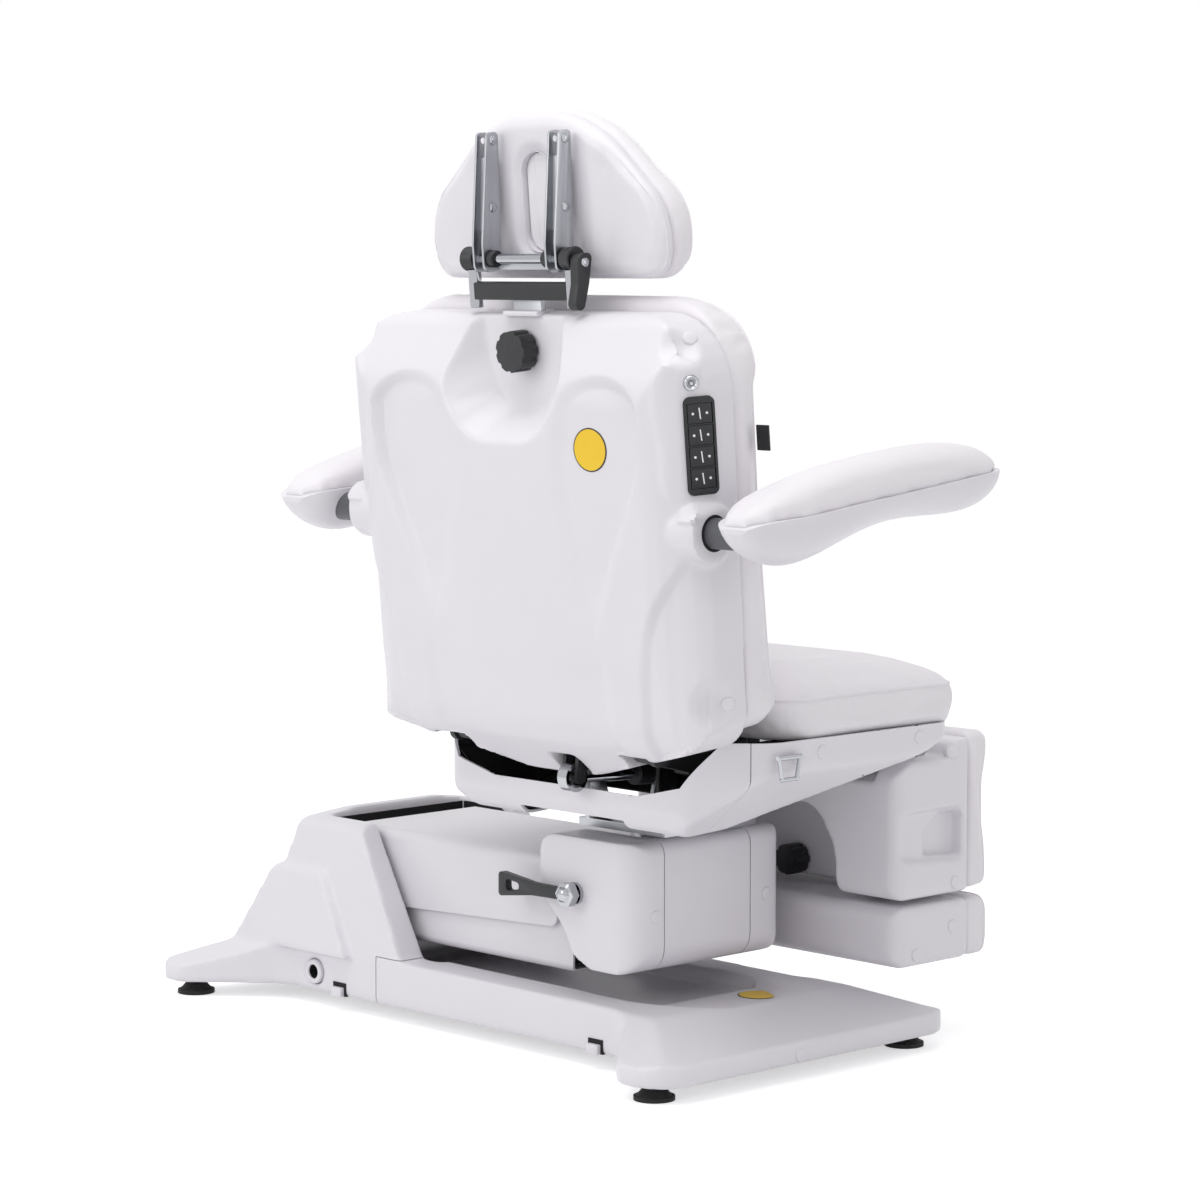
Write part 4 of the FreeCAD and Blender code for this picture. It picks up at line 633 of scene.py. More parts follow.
def tapered(lower, upper, low, high):
    """A block that runs from one rounded outline to another with as many corners."""
    shape = bmesh.new()
    for outline, level in ((lower, low), (upper, high)):
        part = bmesh.new()
        rounded_face(part, "y", outline, level)
        absorb(shape, part)
    bmesh.ops.bridge_loops(shape, edges=shape.edges[:])
    return piece_from("tapered", shape)


carve(back, tapered(mirror_list(SCOOP_FLOOR), mirror_list(SCOOP_RIM), FLOOR_AT, RIM_AT))
SOCKET_DEPTH, SOCKET_HEIGHT, SOCKET_START, SOCKET_END, SOCKET_BOSS = 14.0, 275.0, 230, 308, 36
HINGE_X, HINGE_HALF = 165, 27
for side in SIDES:
    boss = [(side * reach, SOCKET_DEPTH, SOCKET_HEIGHT) for reach in (SOCKET_START, SOCKET_END)]
    carve(back, round_bar(*boss, SOCKET_BOSS), "UNION")
    carve(back, box((side * HINGE_X - HINGE_HALF, -70, -70), (side * HINGE_X + HINGE_HALF, 30, 32)))
BACK_ROD_ROOM = (-54, -70, -70), (-6, 34, -8)
carve(back, box(*BACK_ROD_ROOM))
BACK_VOXEL = 3.6
skin(back, BACK_VOXEL, 5)
print("back form:", len(back.data.polygons), "faces")


# %% Back creases and dishes
def ramp(value, start, end):
    """Smooth step from 0 at start to 1 at end."""
    t = min(max((value - start) / (end - start), 0), 1)
    return t * t * (3 - 2 * t)


def along(points, height):
    """Value at a height on a smooth curve through (height, value) points."""
    last = len(points) - 2
    index = min(sum(height > low for low, value in points[1:]), last)
    (low, a), (high, b) = points[index], points[index + 1]
    before, after = points[max(index - 1, 0)], points[min(index + 2, last + 1)]
    span = high - low
    rise_a = (b - before[1]) / (high - before[0]) * span
    rise_b = (after[1] - a) / (after[0] - low) * span
    t = min(max((height - low) / span, 0), 1)
    return (a * (1 + 2 * t) * (1 - t) ** 2 + rise_a * t * (1 - t) ** 2 + b * t * t * (3 - 2 * t)
            + rise_b * t * t * (t - 1))


DISH_OUTER = [(100, 150), (150, 153), (225, 177), (300, 210), (350, 229), (410, 235)]
DISH_INNER = [(100, 146), (158, 129), (186, 117), (240, 100), (303, 88), (366, 87), (410, 93)]
DISH_TOP, DISH_MIDDLE, DISH_REACH, DISH_RISE = 410.0, 164.0, 71.0, 46.0
DISH_ACROSS, DISH_FADE = (105, 225), (110, 230)
DISH_DEPTH, DISH_RIM_START, DISH_RIM_END = (6, 7), (-6, 3), (26, -16)


def dish(reach, height):
    """How deep a dish is: crisp at its outer rim, and running out softly towards the middle."""
    outward = ramp(reach, *DISH_ACROSS)
    deep, start, end = [near + more * outward for near, more in (DISH_DEPTH, DISH_RIM_START, DISH_RIM_END)]
    if height > DISH_TOP:
        aside, above = (reach - DISH_MIDDLE) / DISH_REACH, (height - DISH_TOP) / DISH_RISE
        away = DISH_REACH * (1 - math.hypot(aside, above))
    else:
        away = min(along(DISH_OUTER, height) - reach, reach - along(DISH_INNER, height))
    return deep * ramp(away, start, end) * ramp(height, *DISH_FADE)


LOW_CREASE = [(-40, 212), (15, 213), (98, 219), (145, 227), (177, 238), (205, 254), (242, 279), (278, 301)]
PANEL_EDGE = [(296, 282), (308, 272), (325, 263), (380, 261), (432, 256), (468, 264), (484, 300)]
FLUTE_DEPTH, LOW_DEPTH, PANEL_RISE = 3.5, 7.5, 4.5


def back_relief(x, height):
    """How far the rear face stands proud, in millimetres."""
    reach = abs(x)
    relief = 0.0
    if 100 < height < 470:
        relief -= dish(reach, height)
    if height < 165:
        relief -= FLUTE_DEPTH * ramp(reach, 168, 146) * ramp(height, 165, 90) * ramp(reach, 60, 140)
    if height < 285:
        beyond = reach - along(LOW_CREASE, height)
        relief -= LOW_DEPTH * ramp(beyond, -5, 8) * ramp(height, 285, 235) * ramp(reach, 304, 258)
    if 290 < height < 490:
        relief += PANEL_RISE * ramp(reach - along(PANEL_EDGE, height), -5, 6)
    return relief


def corner_scoop(point):
    """Depth of the small hollows round the four screw caps, in millimetres."""
    reach = Vector((abs(point.x), point.y, point.z))
    return sum(deep * (1 - ramp((reach - Vector(middle)).length, 0.3 * wide, wide))
               for middle, wide, deep in CORNER_SCOOPS)


CORNER_SCOOPS = [((284, 26, 496), 34, 13), ((296, 17, 72), 34, 14)]
REAR_FACING = (0.15, 0.5)
SCOOP_DEPTH, SCOOP_HALF, SCOOP_LOW = 45, 120, 380
KEYPAD_PLACE = Matrix.Translation((-294, 14.5, 376)) @ Matrix.Rotation(math.radians(64), 4, "Z")
INTO_KEYPAD = KEYPAD_PLACE.inverted()
KEYPAD_HALF, KEYPAD_TALL, KEYPAD_SEAT = 19.0, 57.0, 1.0


def flattened(point):
    """The point, pressed down to a flat seat round the keypad."""
    local = INTO_KEYPAD @ point
    if local.y > KEYPAD_SEAT:
        beside = ramp(abs(local.x), 2.2 * KEYPAD_HALF, 1.2 * KEYPAD_HALF)
        level = ramp(abs(local.z), 1.4 * KEYPAD_TALL, KEYPAD_TALL)
        local.y -= (local.y - KEYPAD_SEAT) * beside * level
    return KEYPAD_PLACE @ local


relief = []
for vert in back.data.vertices:
    x, depth, height = vert.co
    in_scoop = depth < SCOOP_DEPTH and abs(x) < SCOOP_HALF and height > SCOOP_LOW
    facing = 0 if in_scoop else ramp(vert.normal.y, *REAR_FACING)
    relief.append(vert.normal * (back_relief(x, height) * facing - corner_scoop(vert.co)))
for vert, shift in zip(back.data.vertices, relief):
    vert.co = flattened(vert.co + shift)
POCKET = mirror_list([(KEYPAD_HALF, -KEYPAD_TALL, 8), (KEYPAD_HALF, KEYPAD_TALL, 8)])
pocket = block("y", POCKET, -14, 60)
pocket.data.transform(KEYPAD_PLACE)
carve(back, pocket)
settle(back, "back_skin", BACK, "back", *WHITE, "back_shell")

# %% [markdown]
# ## Headrest shell
# The headrest is a half-moon. Its shell is an outline with soft edges and an oval hole for the face.

# %% Headrest shell
MOON = [(206, 558, 36, 1, -1), (214, 640, 84, 1, -0.4), (82, 765, 170, 0.45, 1)]
MOON_LAYERS = [(-48, 3), (-38, 4), (-29, 10), (-24, 20)]
HOLE_MIDDLE, HOLE_REACH, HOLE_ROUND = 654.0, 34.0, 26.0
MOON_VOXEL, MOON_DEPTH, MOON_FACING = 2.6, 6.0, (0.2, 0.7)


def oval(inset, easing):
    """The outline of the oval hole, drawn in, with corners that much less than full."""
    half, tall = HOLE_ROUND - inset, HOLE_REACH + HOLE_ROUND - inset
    return mirror_list([(half, HOLE_MIDDLE + up * tall, HOLE_ROUND - easing) for up in SIDES])


def moon_at(inset):
    """The half-moon, drawn in."""
    return mirror_list([(u - pull_u * inset, v - pull_v * inset, radius / (1 + inset / 60))
                        for u, v, radius, pull_u, pull_v in MOON])


moon = None
for (low, wide), (high, narrow) in zip(MOON_LAYERS, MOON_LAYERS[1:]):
    layer = tapered(moon_at(wide), moon_at(narrow), low, high + 0.2)
    moon = carve(moon, layer, "UNION") if moon else layer
carve(moon, block("y", oval(0, 1), -120, 20))
skin(moon, MOON_VOXEL, 6)


def moon_relief(x, height):
    """How far the headrest's rear face sinks: a hollow on each side and a soft rim at the oval hole."""
    reach = abs(x)
    hollow = MOON_DEPTH * ramp(reach, 92, 122) * ramp(height, 735, 690) * ramp(height, 556, 585)
    from_hole = Vector((x, max(abs(height - HOLE_MIDDLE) - HOLE_REACH, 0))).length - HOLE_ROUND
    return hollow + MOON_DEPTH * ramp(from_hole, 20, 0) ** 2


sunk = [moon_relief(v.co.x, v.co.z) * ramp(v.normal.y, *MOON_FACING) for v in moon.data.vertices]
for vert, deep in zip(moon.data.vertices, sunk):
    vert.co.y -= deep
settle(moon, "headrest_skin", BACK, "headrest", *WHITE, "headrest_shell")

# %% [markdown]
# The hole is closed by a padded plug with one seam across it. It sits about 1 cm below the rim.

# %% Headrest plug
PLUG_GAP, PLUG_DEPTH, PLUG_VOXEL = 0.6, (-48, -35), 2.0
plug = skin(block("y", oval(PLUG_GAP, 2), *PLUG_DEPTH), PLUG_VOXEL, 6)
settle(plug, "headrest_plug", BACK, "headrest", *HIDE)
SEAM_LINE = [(9, -35.6, HOLE_MIDDLE + 55 * up) for up in SIDES]
plug_seam = round_bar(*SEAM_LINE, 0.9, 10)
settle(plug_seam, "headrest_plug_seam", BACK, "headrest", *HIDE)

# %% [markdown]
# ## Cushions
# A cushion is foam in a sewn cover. Each one starts from its solid, drawn in a little, gets a skin of small
# squares and is then blown up by Blender's cloth simulation, held where it rests on its shell. How far a
# point may move is capped, so that the cushion stays where its solid is.

# %% Stuffing
FOAM_VOXEL = 0.006
WELD = 0.00002
PRESSURE, FRAMES = 2.0, 20
TIGHTEN = 3


def stuffed(node_name, body, held, swell, shrink=0.99, drop=0.0):
    """A cushion blown up from its solid. held(point) is true where the cover is fixed to its shell."""
    shape = mesh_of(NODES[node_name])
    bmesh.ops.remove_doubles(shape, verts=shape.verts, dist=WELD)
    piece = piece_from(node_name + "_cover", shape)
    low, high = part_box(node_name)
    middle = (low + high) / 2
    piece.data.transform(Matrix.Translation(middle - UP * drop * MM) @ Matrix.Scale(shrink, 4)
                         @ Matrix.Translation(-middle))
    skin(piece, FOAM_VOXEL, TIGHTEN)
    rest = [v.co.copy() for v in piece.data.vertices]
    group = piece.vertex_groups.new(name="held")
    group.add([v.index for v in piece.data.vertices if held(v.co)], 1.0, "REPLACE")
    cloth = piece.modifiers.new("stuffing", "CLOTH")
    cloth.settings.vertex_group_mass = "held"
    cloth.settings.use_pressure = True
    cloth.settings.uniform_pressure_force = PRESSURE
    cloth.settings.effector_weights.gravity = 0.0
    cloth.point_cache.frame_start = 1
    cloth.point_cache.frame_end = FRAMES
    for step in range(1, FRAMES + 1):
        scene.frame_set(step)
    baked(piece)
    scene.frame_set(1)
    for vert, start in zip(piece.data.vertices, rest):
        moved = vert.co - start
        if moved.length > swell * MM:
            vert.co = start + moved.normalized() * swell * MM
    tight = piece.modifiers.new("tight", "SMOOTH")
    tight.iterations = TIGHTEN
    finer = piece.modifiers.new("finer", "SUBSURF")
    finer.levels = finer.render_levels = 1
    baked(piece)
    settle(piece, node_name + "_cover", Matrix.Identity(4), body, *HIDE, node_name,
           smooth_angle=180)
    return piece


def chair_mm(point):
    """A point of the frame in the chair's own millimetres."""
    return (point - AXIS) / MM


INTO_BACK = BACK.inverted()
seat = stuffed("seat_cushion", "seat", lambda p: chair_mm(p).z < 428, 7)
back_pad = stuffed("back_cushion", "back", lambda p: (INTO_BACK @ p).y > -46, 8)
head_pad = stuffed("headrest_pad", "headrest", lambda p: (INTO_BACK @ p).y > -54, 6)
leg_pad = stuffed("leg_pad", "leg", lambda p: chair_mm(p).y > -308, 8)
foot_pad = stuffed("foot_pad", "foot", lambda p: chair_mm(p).y > -308, 8)
for side in ("left", "right"):
    stuffed(f"{side}_armrest_pad", f"{side}_armrest", lambda p: False, 3, 1.0, 4.0)

# %% [markdown]
# ## Seams
# The seat cover is sewn with a piped bead, and the other pads with a narrow seam. A plane cuts the finished
# cushion, the cut gives the line that the stitching follows, and a thin tube is swept along it, so it lies
# on the cover wherever the simulation put it.

# %% Piping
BEAD_PASSES = 6


def piping(cushion, name, point, normal, radius, body):
    """A sewn bead round a cushion, where a plane cuts its cover."""
    shape = mesh_of(cushion)
    cut_through(shape, point, normal, clear_inner=True, clear_outer=True)
    for passes in range(BEAD_PASSES):
        bmesh.ops.smooth_vert(shape, verts=shape.verts, factor=0.5, use_axis_x=True, use_axis_y=True,
                              use_axis_z=True)
    bead = piece_from(name, shape)
    bpy.ops.object.select_all(action="DESELECT")
    bead.select_set(True)
    bpy.context.view_layer.objects.active = bead
    bpy.ops.object.convert(target="CURVE")
    bead = bpy.context.view_layer.objects.active
    bead.data.bevel_depth = radius * MM
    bead.data.bevel_resolution = 3
    bpy.ops.object.convert(target="MESH")
    bead = bpy.context.view_layer.objects.active
    return settle(bead, name, Matrix.Identity(4), body, *HIDE, smooth_angle=180)


def on_chair(x, y, z):
    """A point in the chair's millimetres, in the frame."""
    return CHAIR @ Vector((x, y, z))


def on_back(x, depth, height):
    """A point of the upright back, in the frame."""
    return BACK @ Vector((x, depth, height))


BACKWARD = (BACK.to_3x3() @ REARWARD).normalized()
SEAT_BEAD, LEG_BEAD, BACK_BEAD, HEAD_BEAD = 468, -334, -90, -86
piping(seat, "seat_piping", on_chair(0, 0, SEAT_BEAD), UP, 2.6, "seat")
piping(back_pad, "back_piping", on_back(0, BACK_BEAD, 0), BACKWARD, 2.2, "back")
piping(head_pad, "headrest_piping", on_back(0, HEAD_BEAD, 0), BACKWARD, 2.0, "headrest")
for pad, body in ((leg_pad, "leg"), (foot_pad, "foot")):
    piping(pad, f"{body}_piping", on_chair(0, LEG_BEAD, 0), REARWARD, 1.8, body)

# %% [markdown]
# ## Small fittings
# Caps, bolts and discs sit on a skin where the photograph shows them: a line of sight from the camera
# through that point of the picture meets the skin, and the fitting stands on its surface there. The far
# side gets the mirror image. Each is turned on a lathe: a short profile spun round its axis.

# %% Lathe and lines of sight
LATHE_WELD = 0.001
PHOTO = 1200
FOCAL = LENS / SENSOR * PHOTO
SPOT_PIXELS = {"back_cap_high": (690, 338), "back_cap_low": (728, 704),
               "pan_cap_high": (919, 737), "pan_cap_low": (822, 752),
               "leg_cap_high": (952, 752), "leg_cap_low": (955, 882),
               "foot_cap_high": (952, 926), "foot_cap_low": (916, 955),
               "head_cap_right": (656, 917), "head_cap_left": (766, 893), "base_cap": (800, 1055),
               "control_socket": (691, 383), "back_disc": (590, 450)}


def sight(px, py):
    """Direction from the camera through a point of the photograph."""
    local = Vector(((px - PHOTO / 2) / FOCAL, -(py - PHOTO / 2) / FOCAL, -1))
    return (camera.rotation_euler.to_matrix() @ local).normalized()


def spot_on(piece, spot):
    """Where the line of sight to a named spot meets a piece, and which way its surface faces there."""
    shape = mesh_of(piece)
    point, normal = BVHTree.FromBMesh(shape).ray_cast(CAMERA_AT, sight(*SPOT_PIXELS[spot]))[:2]
    shape.free()
    if point is None:
        raise ValueError(f"no line of sight to {spot} on {piece.name}")
    return point, normal


def mirrored(place):
    """The same spot on the chair's other side."""
    point, normal = place
    return Vector((2 * AXIS.x - point.x, point.y, point.z)), Vector((-normal.x, normal.y, normal.z))


def turned(profile, steps=32):
    """A lathe-turned solid from (radius, height) points in millimetres, standing on +Z."""
    shape = bmesh.new()
    verts = [shape.verts.new((radius, 0, height)) for radius, height in profile]
    edges = [shape.edges.new(pair) for pair in zip(verts, verts[1:])]
    bmesh.ops.spin(shape, geom=verts + edges, cent=(0, 0, 0), axis=(0, 0, 1), angle=2 * math.pi, steps=steps,
                   use_merge=True)
    bmesh.ops.remove_doubles(shape, verts=shape.verts, dist=LATHE_WELD)
    return shape


def fitting(name, profile, places, body, finish_used, slot, steps=32):
    """The same turned piece at several places (point, normal)."""
    whole = bmesh.new()
    for point, normal in places:
        part = turned(profile, steps)
        part.transform(Matrix.Translation(point) @ normal.to_track_quat("Z", "Y").to_matrix().to_4x4()
                       @ Matrix.Scale(MM, 4))
        absorb(whole, part)
    piece = piece_from(name, whole)
    return settle(piece, name, Matrix.Identity(4), body, finish_used, slot)


CAP = [(0, 2.4), (5, 2.3), (7.6, 1.8), (8.4, 0.6), (8.4, -0.8), (9.6, -0.8), (9.6, -6), (0, -6)]
BOLT = [(0, 3.6), (3, 3.2), (5.4, 1.6), (6, 0), (6, -3), (0, -3)]

# %% Screw caps
PAIRED_CAPS = {"back": (back, "back"), "pan": (pan, "seat"), "leg": (casing, "leg"), "foot": (foot, "foot")}
for name, (shell, body) in PAIRED_CAPS.items():
    caps = [spot_on(shell, f"{name}_cap_{place}") for place in ("high", "low")]
    fitting(f"{name}_screw_caps", CAP, caps + [mirrored(cap) for cap in caps], body, *WHITE)
head_caps = [spot_on(right_head, "head_cap_right"), spot_on(left_head, "head_cap_left")]
fitting("head_screw_caps", CAP, head_caps, "swivel_head", *WHITE)
fitting("base_screw_caps", CAP, [spot_on(front, "base_cap")], "base", *WHITE)

# %% [markdown]
# A chromed hand-control socket sits above the keypad, and two plain yellow discs mark the back and the
# base.

# %% Socket and discs
RING = [(0, -2), (4.4, -2), (4.6, 1.5), (6, 3), (8.2, 2.6), (9.4, 0.8), (9.4, -6), (0, -6)]
PLUG = [(0, 2.4), (2.2, 2.0), (3.4, 0.4), (3.4, -2.4), (0, -2.4)]
socket_at = spot_on(back, "control_socket")
fitting("control_socket", RING, [socket_at], "back", *CHROME)
fitting("control_socket_pin", PLUG, [socket_at], "back", *CHROME)
RIM = [(0, 0.6), (25.6, 0.6), (26, 0.3), (26, -3), (0, -3)]
DISC = [(0, 0.9), (24, 0.9), (24.4, 0.6), (24.4, -3), (0, -3)]
back_spot = spot_on(back, "back_disc")
base_spot = (on_chair(*DISC_AT), UP)
for profile, kind, finish_used in ((RIM, "rim", black_abs), (DISC, "disc", yellow_vinyl)):
    fitting(f"back_{kind}", profile, [back_spot], "back", finish_used, "white_shell", steps=48)
    fitting(f"base_{kind}", profile, [base_spot], "base", finish_used, "white_shell", steps=48)

# %% [markdown]
# ## Headrest fittings
# The clamp is a chromed shaft with two black hubs on chromed uprights, joined by a black crossbar. They are
# drawn upright, like the back. The flat post goes down into the back.


# %% Headrest clamp
def softened(piece, width, angle=40):
    """Break the sharp edges of a piece, as every machined or moulded part has them."""
    edge = piece.modifiers.new("soft edges", "BEVEL")
    edge.width = width
    edge.segments = 3
    edge.limit_method = "ANGLE"
    edge.angle_limit = math.radians(angle)
    return baked(piece)


SHAFT_D, SHAFT_H = 5.0, 589.0
HUB_X, ARM_X = 86.0, 66.0
POST_BODY = NODES["headrest_post"]["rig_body"]
SHAFT_BODY = NODES["headrest_shaft"]["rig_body"]


def at_shaft(x):
    """A point on the clamp shaft's axis."""
    return on_back(x, SHAFT_D, SHAFT_H)


POST = mirror_list([(25, -7), (25, 1)])
post = softened(block("z", POST, 396, 545), 1.2)
settle(post, "headrest_flat_post", BACK, POST_BODY, zinc, "zinc_steel", "headrest_post")
CROSSBAR = [(-6, 540, 2), (12, 540, 2), (12, 561, 2), (-6, 561, 2)]
crossbar = softened(block("x", CROSSBAR, -HUB_X + 4, HUB_X - 4), 1.0)
settle(crossbar, "headrest_crossbar", BACK, POST_BODY, *BLACK)
UPRIGHT = [(0, 0), (7, 0), (8, 1.2), (8, 46), (0, 46)]
UPRIGHT_FOOT = 530
upward = (BACK.to_3x3() @ UP).normalized()
uprights = [(on_back(s * HUB_X, SHAFT_D, UPRIGHT_FOOT), upward) for s in SIDES]
fitting("headrest_uprights", UPRIGHT, uprights, POST_BODY, *CHROME)
ROD_LENGTH = 2 * HUB_X + 16
ROD = [(0, 0), (5.2, 0), (6, 0.8), (6, ROD_LENGTH), (0, ROD_LENGTH)]
fitting("clamp_shaft", ROD, [(at_shaft(-HUB_X - 16), SIDEWAYS)], SHAFT_BODY, *CHROME)
HUB = [(0, 0), (8, 0), (12.4, 1.2), (14, 4), (14, 14), (15, 16), (15, 19), (13.5, 20.2), (0, 20.2)]
fitting("clamp_hubs", HUB, [(at_shaft(s * (HUB_X - 10)), SIDEWAYS * s) for s in SIDES], SHAFT_BODY, *BLACK)
COLLAR = [(0, -5), (9.5, -5), (10.5, -3.6), (10.5, 3.6), (9.5, 5), (0, 5)]
collars = [(at_shaft(s * (ARM_X - 18)), SIDEWAYS) for s in SIDES]
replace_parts(fitting("clamp_collars", COLLAR, collars, SHAFT_BODY, *BLACK), "headrest_shaft")

# %% [markdown]
# The clamp lever is a black moulding with a swollen end, and the channel arms are held by domed bolts.

# %% Clamp lever and bolts
LEVER_SIDE = [(-7, 596, 7), (17, 596, 10), (19, 560, 20), (27, 532, 8), (12, 527, 8), (1, 560, 20)]
LEVER_OUTER, LEVER_INNER = -HUB_X - 26, -HUB_X - 11.5
lever = softened(block("x", LEVER_SIDE, LEVER_OUTER, LEVER_INNER), 3.0, 30)
settle(lever, "clamp_lever", BACK, "headrest_lever", *BLACK, "headrest_lever")
lever_bolt = on_back(LEVER_OUTER, SHAFT_D + 2, SHAFT_H - 4)
fitting("clamp_lever_bolt", BOLT, [(lever_bolt, -SIDEWAYS)], "headrest_lever", *CHROME)
ARM_BODY = NODES["headrest_arms"]["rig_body"]
BOLT_LEVELS = ((-10, 730), (-3, 650))
arm_bolts = [on_back(x, *level) for x in (-ARM_X - 8, ARM_X - 12) for level in BOLT_LEVELS]
fitting("arm_bolts", BOLT, [(place, -SIDEWAYS) for place in arm_bolts], ARM_BODY, *CHROME)

# %% [markdown]
# A white slot plate guides the post at the top of the back, and a plain black tag is sewn into the
# cushion's seam.

# %% Slot plate and tag
POST_SLOT = mirror_list([(31, -16, 4), (31, 15, 4)])
slot_plate = softened(block("z", POST_SLOT, 521, 527), 1.2)
settle(slot_plate, "post_slot_plate", BACK, "back", *WHITE)
TAG = [(-88, 358), (-85.5, 358), (-85.5, 388), (-88, 388)]
settle(softened(block("x", TAG, -306, -286), 0.6), "sewn_tag", BACK, "back", *BLACK)
# Each armrest socket gets a near-black ring in the painted-shade finish.
SOCKET_RING = [(0, 0.6), (21, 0.6), (22, -0.4), (22, -4), (0, -4)]
sockets = [(on_back(s * SOCKET_END, SOCKET_DEPTH, SOCKET_HEIGHT), SIDEWAYS * s) for s in SIDES]
fitting("armrest_socket_rings", SOCKET_RING, sockets, "back", *PAINTED_SHADE)

# %% [markdown]
# ## Edges of the plain solids
# Some solids of the frame show as they are. Each gets a copy whose sharp edges are broken, so that they
# catch light.

# %% Soft copies
TIE_TOP, TIE_FACE, TIE_CUT = 615.0, -6.0, 21.0
FLAT = math.radians(1)


def lower_tie(shape):
    """Lower the top edge of the cross plate between the headrest arms, below the oval plug."""
    for vert in shape.verts:
        x, depth, height = INTO_BACK @ vert.co
        if abs(x) < ARM_X + 1 and abs(height - TIE_TOP) < 2 and depth < TIE_FACE:
            vert.co = on_back(x, depth, height - TIE_CUT)


def soft_copy(node_name, width):
    """A copy of a solid with its edges broken, in the solid's place."""
    slot = NODE_SLOT[node_name]
    shape = mesh_of(NODES[node_name])
    bmesh.ops.remove_doubles(shape, verts=shape.verts, dist=WELD)
    bmesh.ops.dissolve_limit(shape, angle_limit=FLAT, verts=shape.verts, edges=shape.edges)
    if node_name == "headrest_arms":
        lower_tie(shape)
    piece = softened(piece_from(node_name + "_soft", shape), width * MM)
    return settle(piece, node_name + "_soft", Matrix.Identity(4), NODES[node_name]["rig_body"],
                  SLOT_FINISH[slot], slot, node_name)


SOFT_EDGES = {"arm_top_cover": 5.0, "arm_lower_cover": 3.0, "keypad_housing": 1.2, "swivel_carriage": 0.8,
              "headrest_arms": 0.7, "post_knob": 1.2, "leg_knob": 1.2}
SOFT_EDGES.update({f"keypad_key_{number + 1}": 0.5 for number in range(4)})
for node_name, width in SOFT_EDGES.items():
    soft_copy(node_name, width)

# %% [markdown]
# ## Brake lever
# A black slotted lever on a chromed hexagon works the swivel brake.

# %% Brake lever
PIVOT_X, PIVOT_Y, PIVOT_Z = 30.0, 136.0, 207.0
LEVER = mirror_second([(0, -7), (60, -8, 60), (122, -16, 5)])
LEVER_SLOT = mirror_second([(84, -4, 4), (108, -8, 5)])
grip = carve(block("y", LEVER, 139, 150), block("y", LEVER_SLOT, 130, 160))
at_pivot = CHAIR @ Matrix.Translation((PIVOT_X, 0, PIVOT_Z))
settle(softened(grip, 2.4, 30), "brake_grip", at_pivot, "brake_lever", *BLACK, "brake_lever")
NUT = [(0, 21), (6, 20.4), (9.5, 18), (11, 15.5), (16, 14), (16, 3), (14, 1.4), (0, 1.4)]
nut_at = on_chair(PIVOT_X, PIVOT_Y, PIVOT_Z)
fitting("brake_nut", NUT, [(nut_at, REARWARD)], "brake_lever", *CHROME, steps=6)

# %% [markdown]
# ## Keypad
# Each rocker key carries two white dots and a slanted stroke between them, like the folding chair that it
# moves. They are printed, so they stand hardly proud of the key.

# %% Key marks
KEYPAD = BACK @ KEYPAD_PLACE
KEY_PITCH = 25.0
PRINT_LEVELS = (3.8, 4.2)
STROKE_TALL, DOT_X, DOT_RADIUS = 6.5, 8.5, 1.5
white_print = finish("white_pad_print", {"IOR": 1.5}, 2.0, 0.02, ("F2F2F2", "FAFAFA"), (0.4, 0.5))
for number in range(4):
    middle = KEY_PITCH * (1.5 - number)
    low, high = middle - STROKE_TALL, middle + STROKE_TALL
    marks = block("y", [(-1.2, low), (0.2, low), (1.4, high), (0, high)], *PRINT_LEVELS)
    for side in SIDES:
        dot = [(side * DOT_X, level, middle) for level in PRINT_LEVELS]
        carve(marks, round_bar(*dot, DOT_RADIUS, 20), "UNION")
    settle(marks, f"key_{number + 1}_marks", KEYPAD, f"key_{number + 1}", white_print, "black_plastic")

# %% [markdown]
# ## Inside of the tower and ends of the frame
# The channel in the tower is lined with a near-black sheet of painted shade, as its inside lies in shade, and
# the ends of two frame tubes show in the skirt of the base.

# %% Channel shade and tube ends
CHANNEL_SHADE_BOX = (330, -117.5, 63), (521.5, 117.5, 246)
CHANNEL_SHADE_ROOM = (200, -115.5, 40), (519.5, 115.5, 300)
CHANNEL_SHADE_SIDE = [(340, 60), (438, 246, 24), (521.5, 246), (521.5, 60)]
# A near-black box of painted shade lines the channel.
channel_shade = carve(box(*CHANNEL_SHADE_BOX), box(*CHANNEL_SHADE_ROOM))
carve(channel_shade, block("y", CHANNEL_SHADE_SIDE, -200, 200), "INTERSECT")
settle(channel_shade, "channel_shade_sheet", CHAIR, "base", *PAINTED_SHADE)
TUBE_ENDS = {"front": -41, "rear": 451}
for place, x in TUBE_ENDS.items():
    # Above each tube end a near-black box of painted shade stands for the shaded notch.
    shade_notch = box((x - 13, 150, 21), (x + 13, 164, 39))
    settle(shade_notch, f"frame_shade_notch_{place}", CHAIR, "base", *PAINTED_SHADE)
    tube_end = softened(box((x - 9, 150, 20.5), (x + 11, 170, 33)), 1.2)
    settle(tube_end, f"frame_tube_end_{place}", CHAIR, "base", *WHITE)
INLET = [(0, -17), (9.4, -17), (9.6, 1.2), (10.6, 2.0), (14.6, 1.6), (16, 0), (16, -18), (0, -18)]
INLET_FACE = 163.4
inlet_at = [(on_chair(INLET_X, INLET_FACE, INLET_Z), REARWARD)]
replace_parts(fitting("mains_inlet_collar", INLET, inlet_at, "base", *WHITE), "mains_inlet")
# The inlet's bore is a near-black cup in the painted-shade finish.
INLET_HOLE = [(0, -16), (8.8, -16), (8.8, -0.4), (9.3, -0.4), (9.3, -16.6), (0, -16.6)]
fitting("mains_inlet_hole", INLET_HOLE, inlet_at, "base", *PAINTED_SHADE)

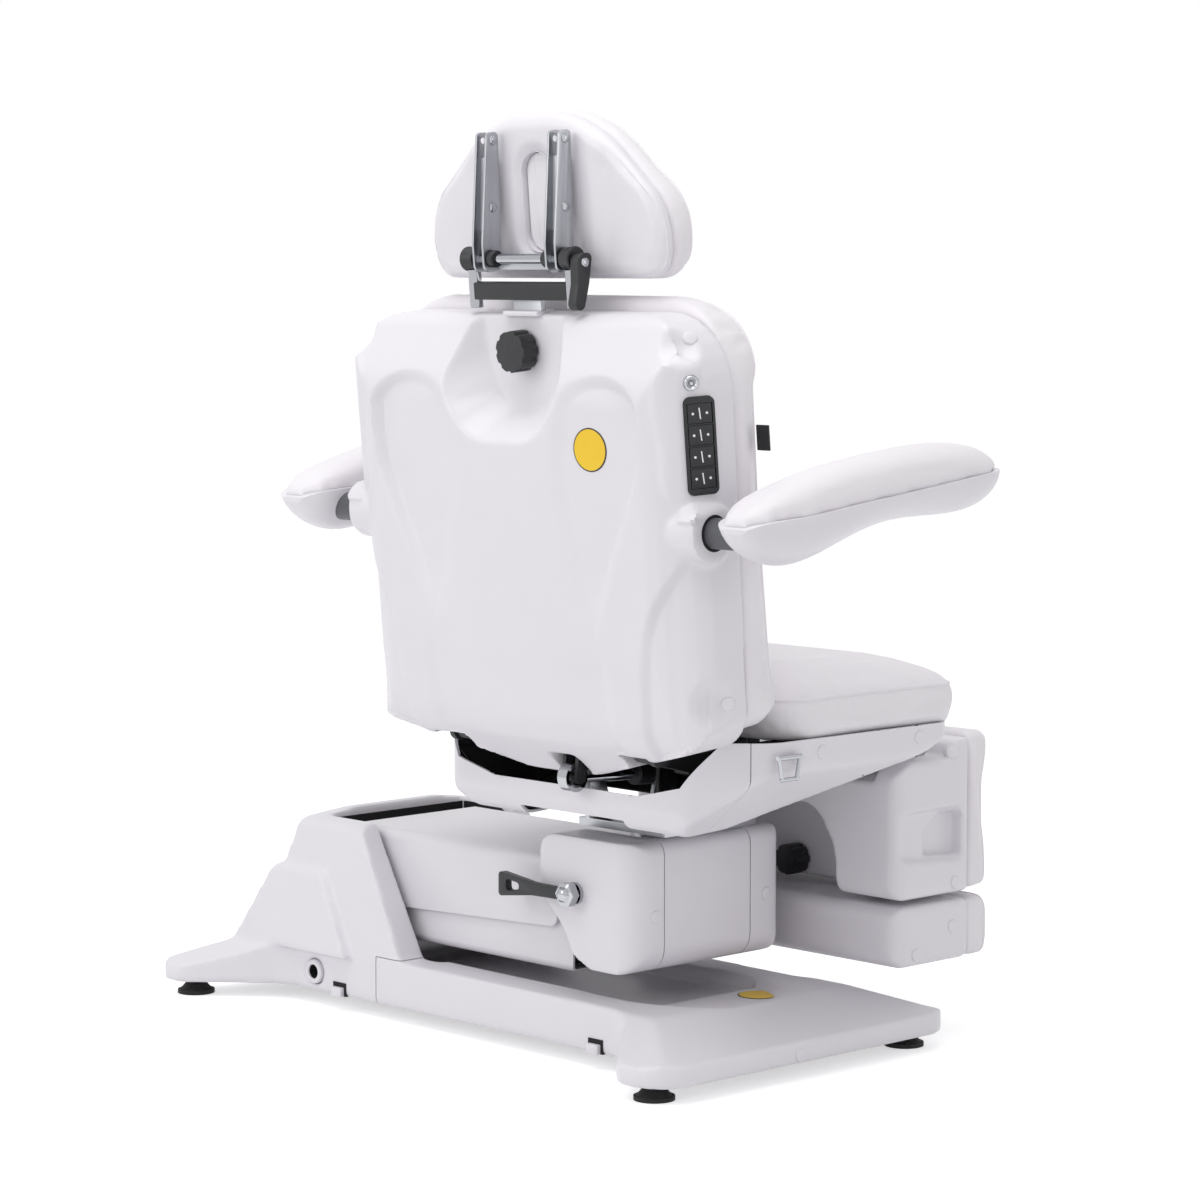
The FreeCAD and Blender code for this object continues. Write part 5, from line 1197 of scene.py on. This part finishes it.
# %% [markdown]
# ## Floor and light
# A pale floor keeps the soft shadow. To the camera, and in reflections, the floor and the sky are lifted to
# white, as in a studio with a white sweep; the light on the chair itself stays at a plain level.

# %% Stage
SKY_LIGHT, SKY_SEEN, FLOOR_GLOW, FLOOR_SIZE = 0.55, 1.0, 0.5, 15
PURE_WHITE = (1, 1, 1, 1)


def seen_by(tree, low, high, *kinds):
    """The high value where a ray is of one of these kinds, and else the low one."""
    ray = add(tree, "ShaderNodeLightPath")
    seen = ray.outputs[kinds[0]]
    for kind in kinds[1:]:
        most = add(tree, "ShaderNodeMath", {"operation": "MAXIMUM"}, {0: seen, 1: ray.outputs[kind]})
        seen = most.outputs["Value"]
    return add(tree, "ShaderNodeMapRange", {"To Min": low, "To Max": high}, {"Value": seen}).outputs["Result"]


sky = bpy.data.worlds.new("white_studio")
scene.world = sky
sky.use_nodes = True
tree = sky.node_tree
strength = seen_by(tree, SKY_LIGHT, SKY_SEEN, "Is Camera Ray", "Is Transmission Ray", "Is Glossy Ray")
tree.links.new(strength, tree.nodes["Background"].inputs["Strength"])
tree.nodes["Background"].inputs["Color"].default_value = PURE_WHITE
shape = bmesh.new()
bmesh.ops.create_grid(shape, x_segments=1, y_segments=1, size=FLOOR_SIZE)
floor = piece_from("floor", shape)
floor_finish = bpy.data.materials.new("pale_floor")
floor_finish.use_nodes = True
tree = floor_finish.node_tree
paint = tree.nodes["Principled BSDF"]
paint.inputs["Base Color"].default_value = linear("F4F4F5")
paint.inputs["Roughness"].default_value = 0.9
lift = seen_by(tree, 0.0, FLOOR_GLOW, "Is Camera Ray", "Is Glossy Ray")
glow = add(tree, "ShaderNodeEmission", {"Color": PURE_WHITE}, {"Strength": lift})
both = add(tree, "ShaderNodeAddShader", {}, {0: paint.outputs["BSDF"], 1: glow.outputs["Emission"]})
tree.links.new(both.outputs["Shader"], tree.nodes["Material Output"].inputs["Surface"])
floor.data.materials.append(floor_finish)
AIM = Vector((-0.05, 0.0, 0.5))
LAMPS = {"overhead": ((-0.3, 1.0, 3.4), 2.6, 48.0), "camera_left": ((1.2, 3.6, 2.0), 2.0, 28.0),
         "camera_right": ((-3.8, -0.6, 1.6), 2.4, 11.0)}
for name, (at, size, power) in LAMPS.items():
    lamp = bpy.data.objects.new(name, bpy.data.lights.new(name, "AREA"))
    lamp.data.size = size
    lamp.data.energy = power
    lamp.location = at
    lamp.rotation_euler = (AIM - Vector(at)).to_track_quat("-Z", "Y").to_euler()
    scene.collection.objects.link(lamp)
print("lamps:", list(LAMPS))

# %% Update the view layer
bpy.context.view_layer.update()
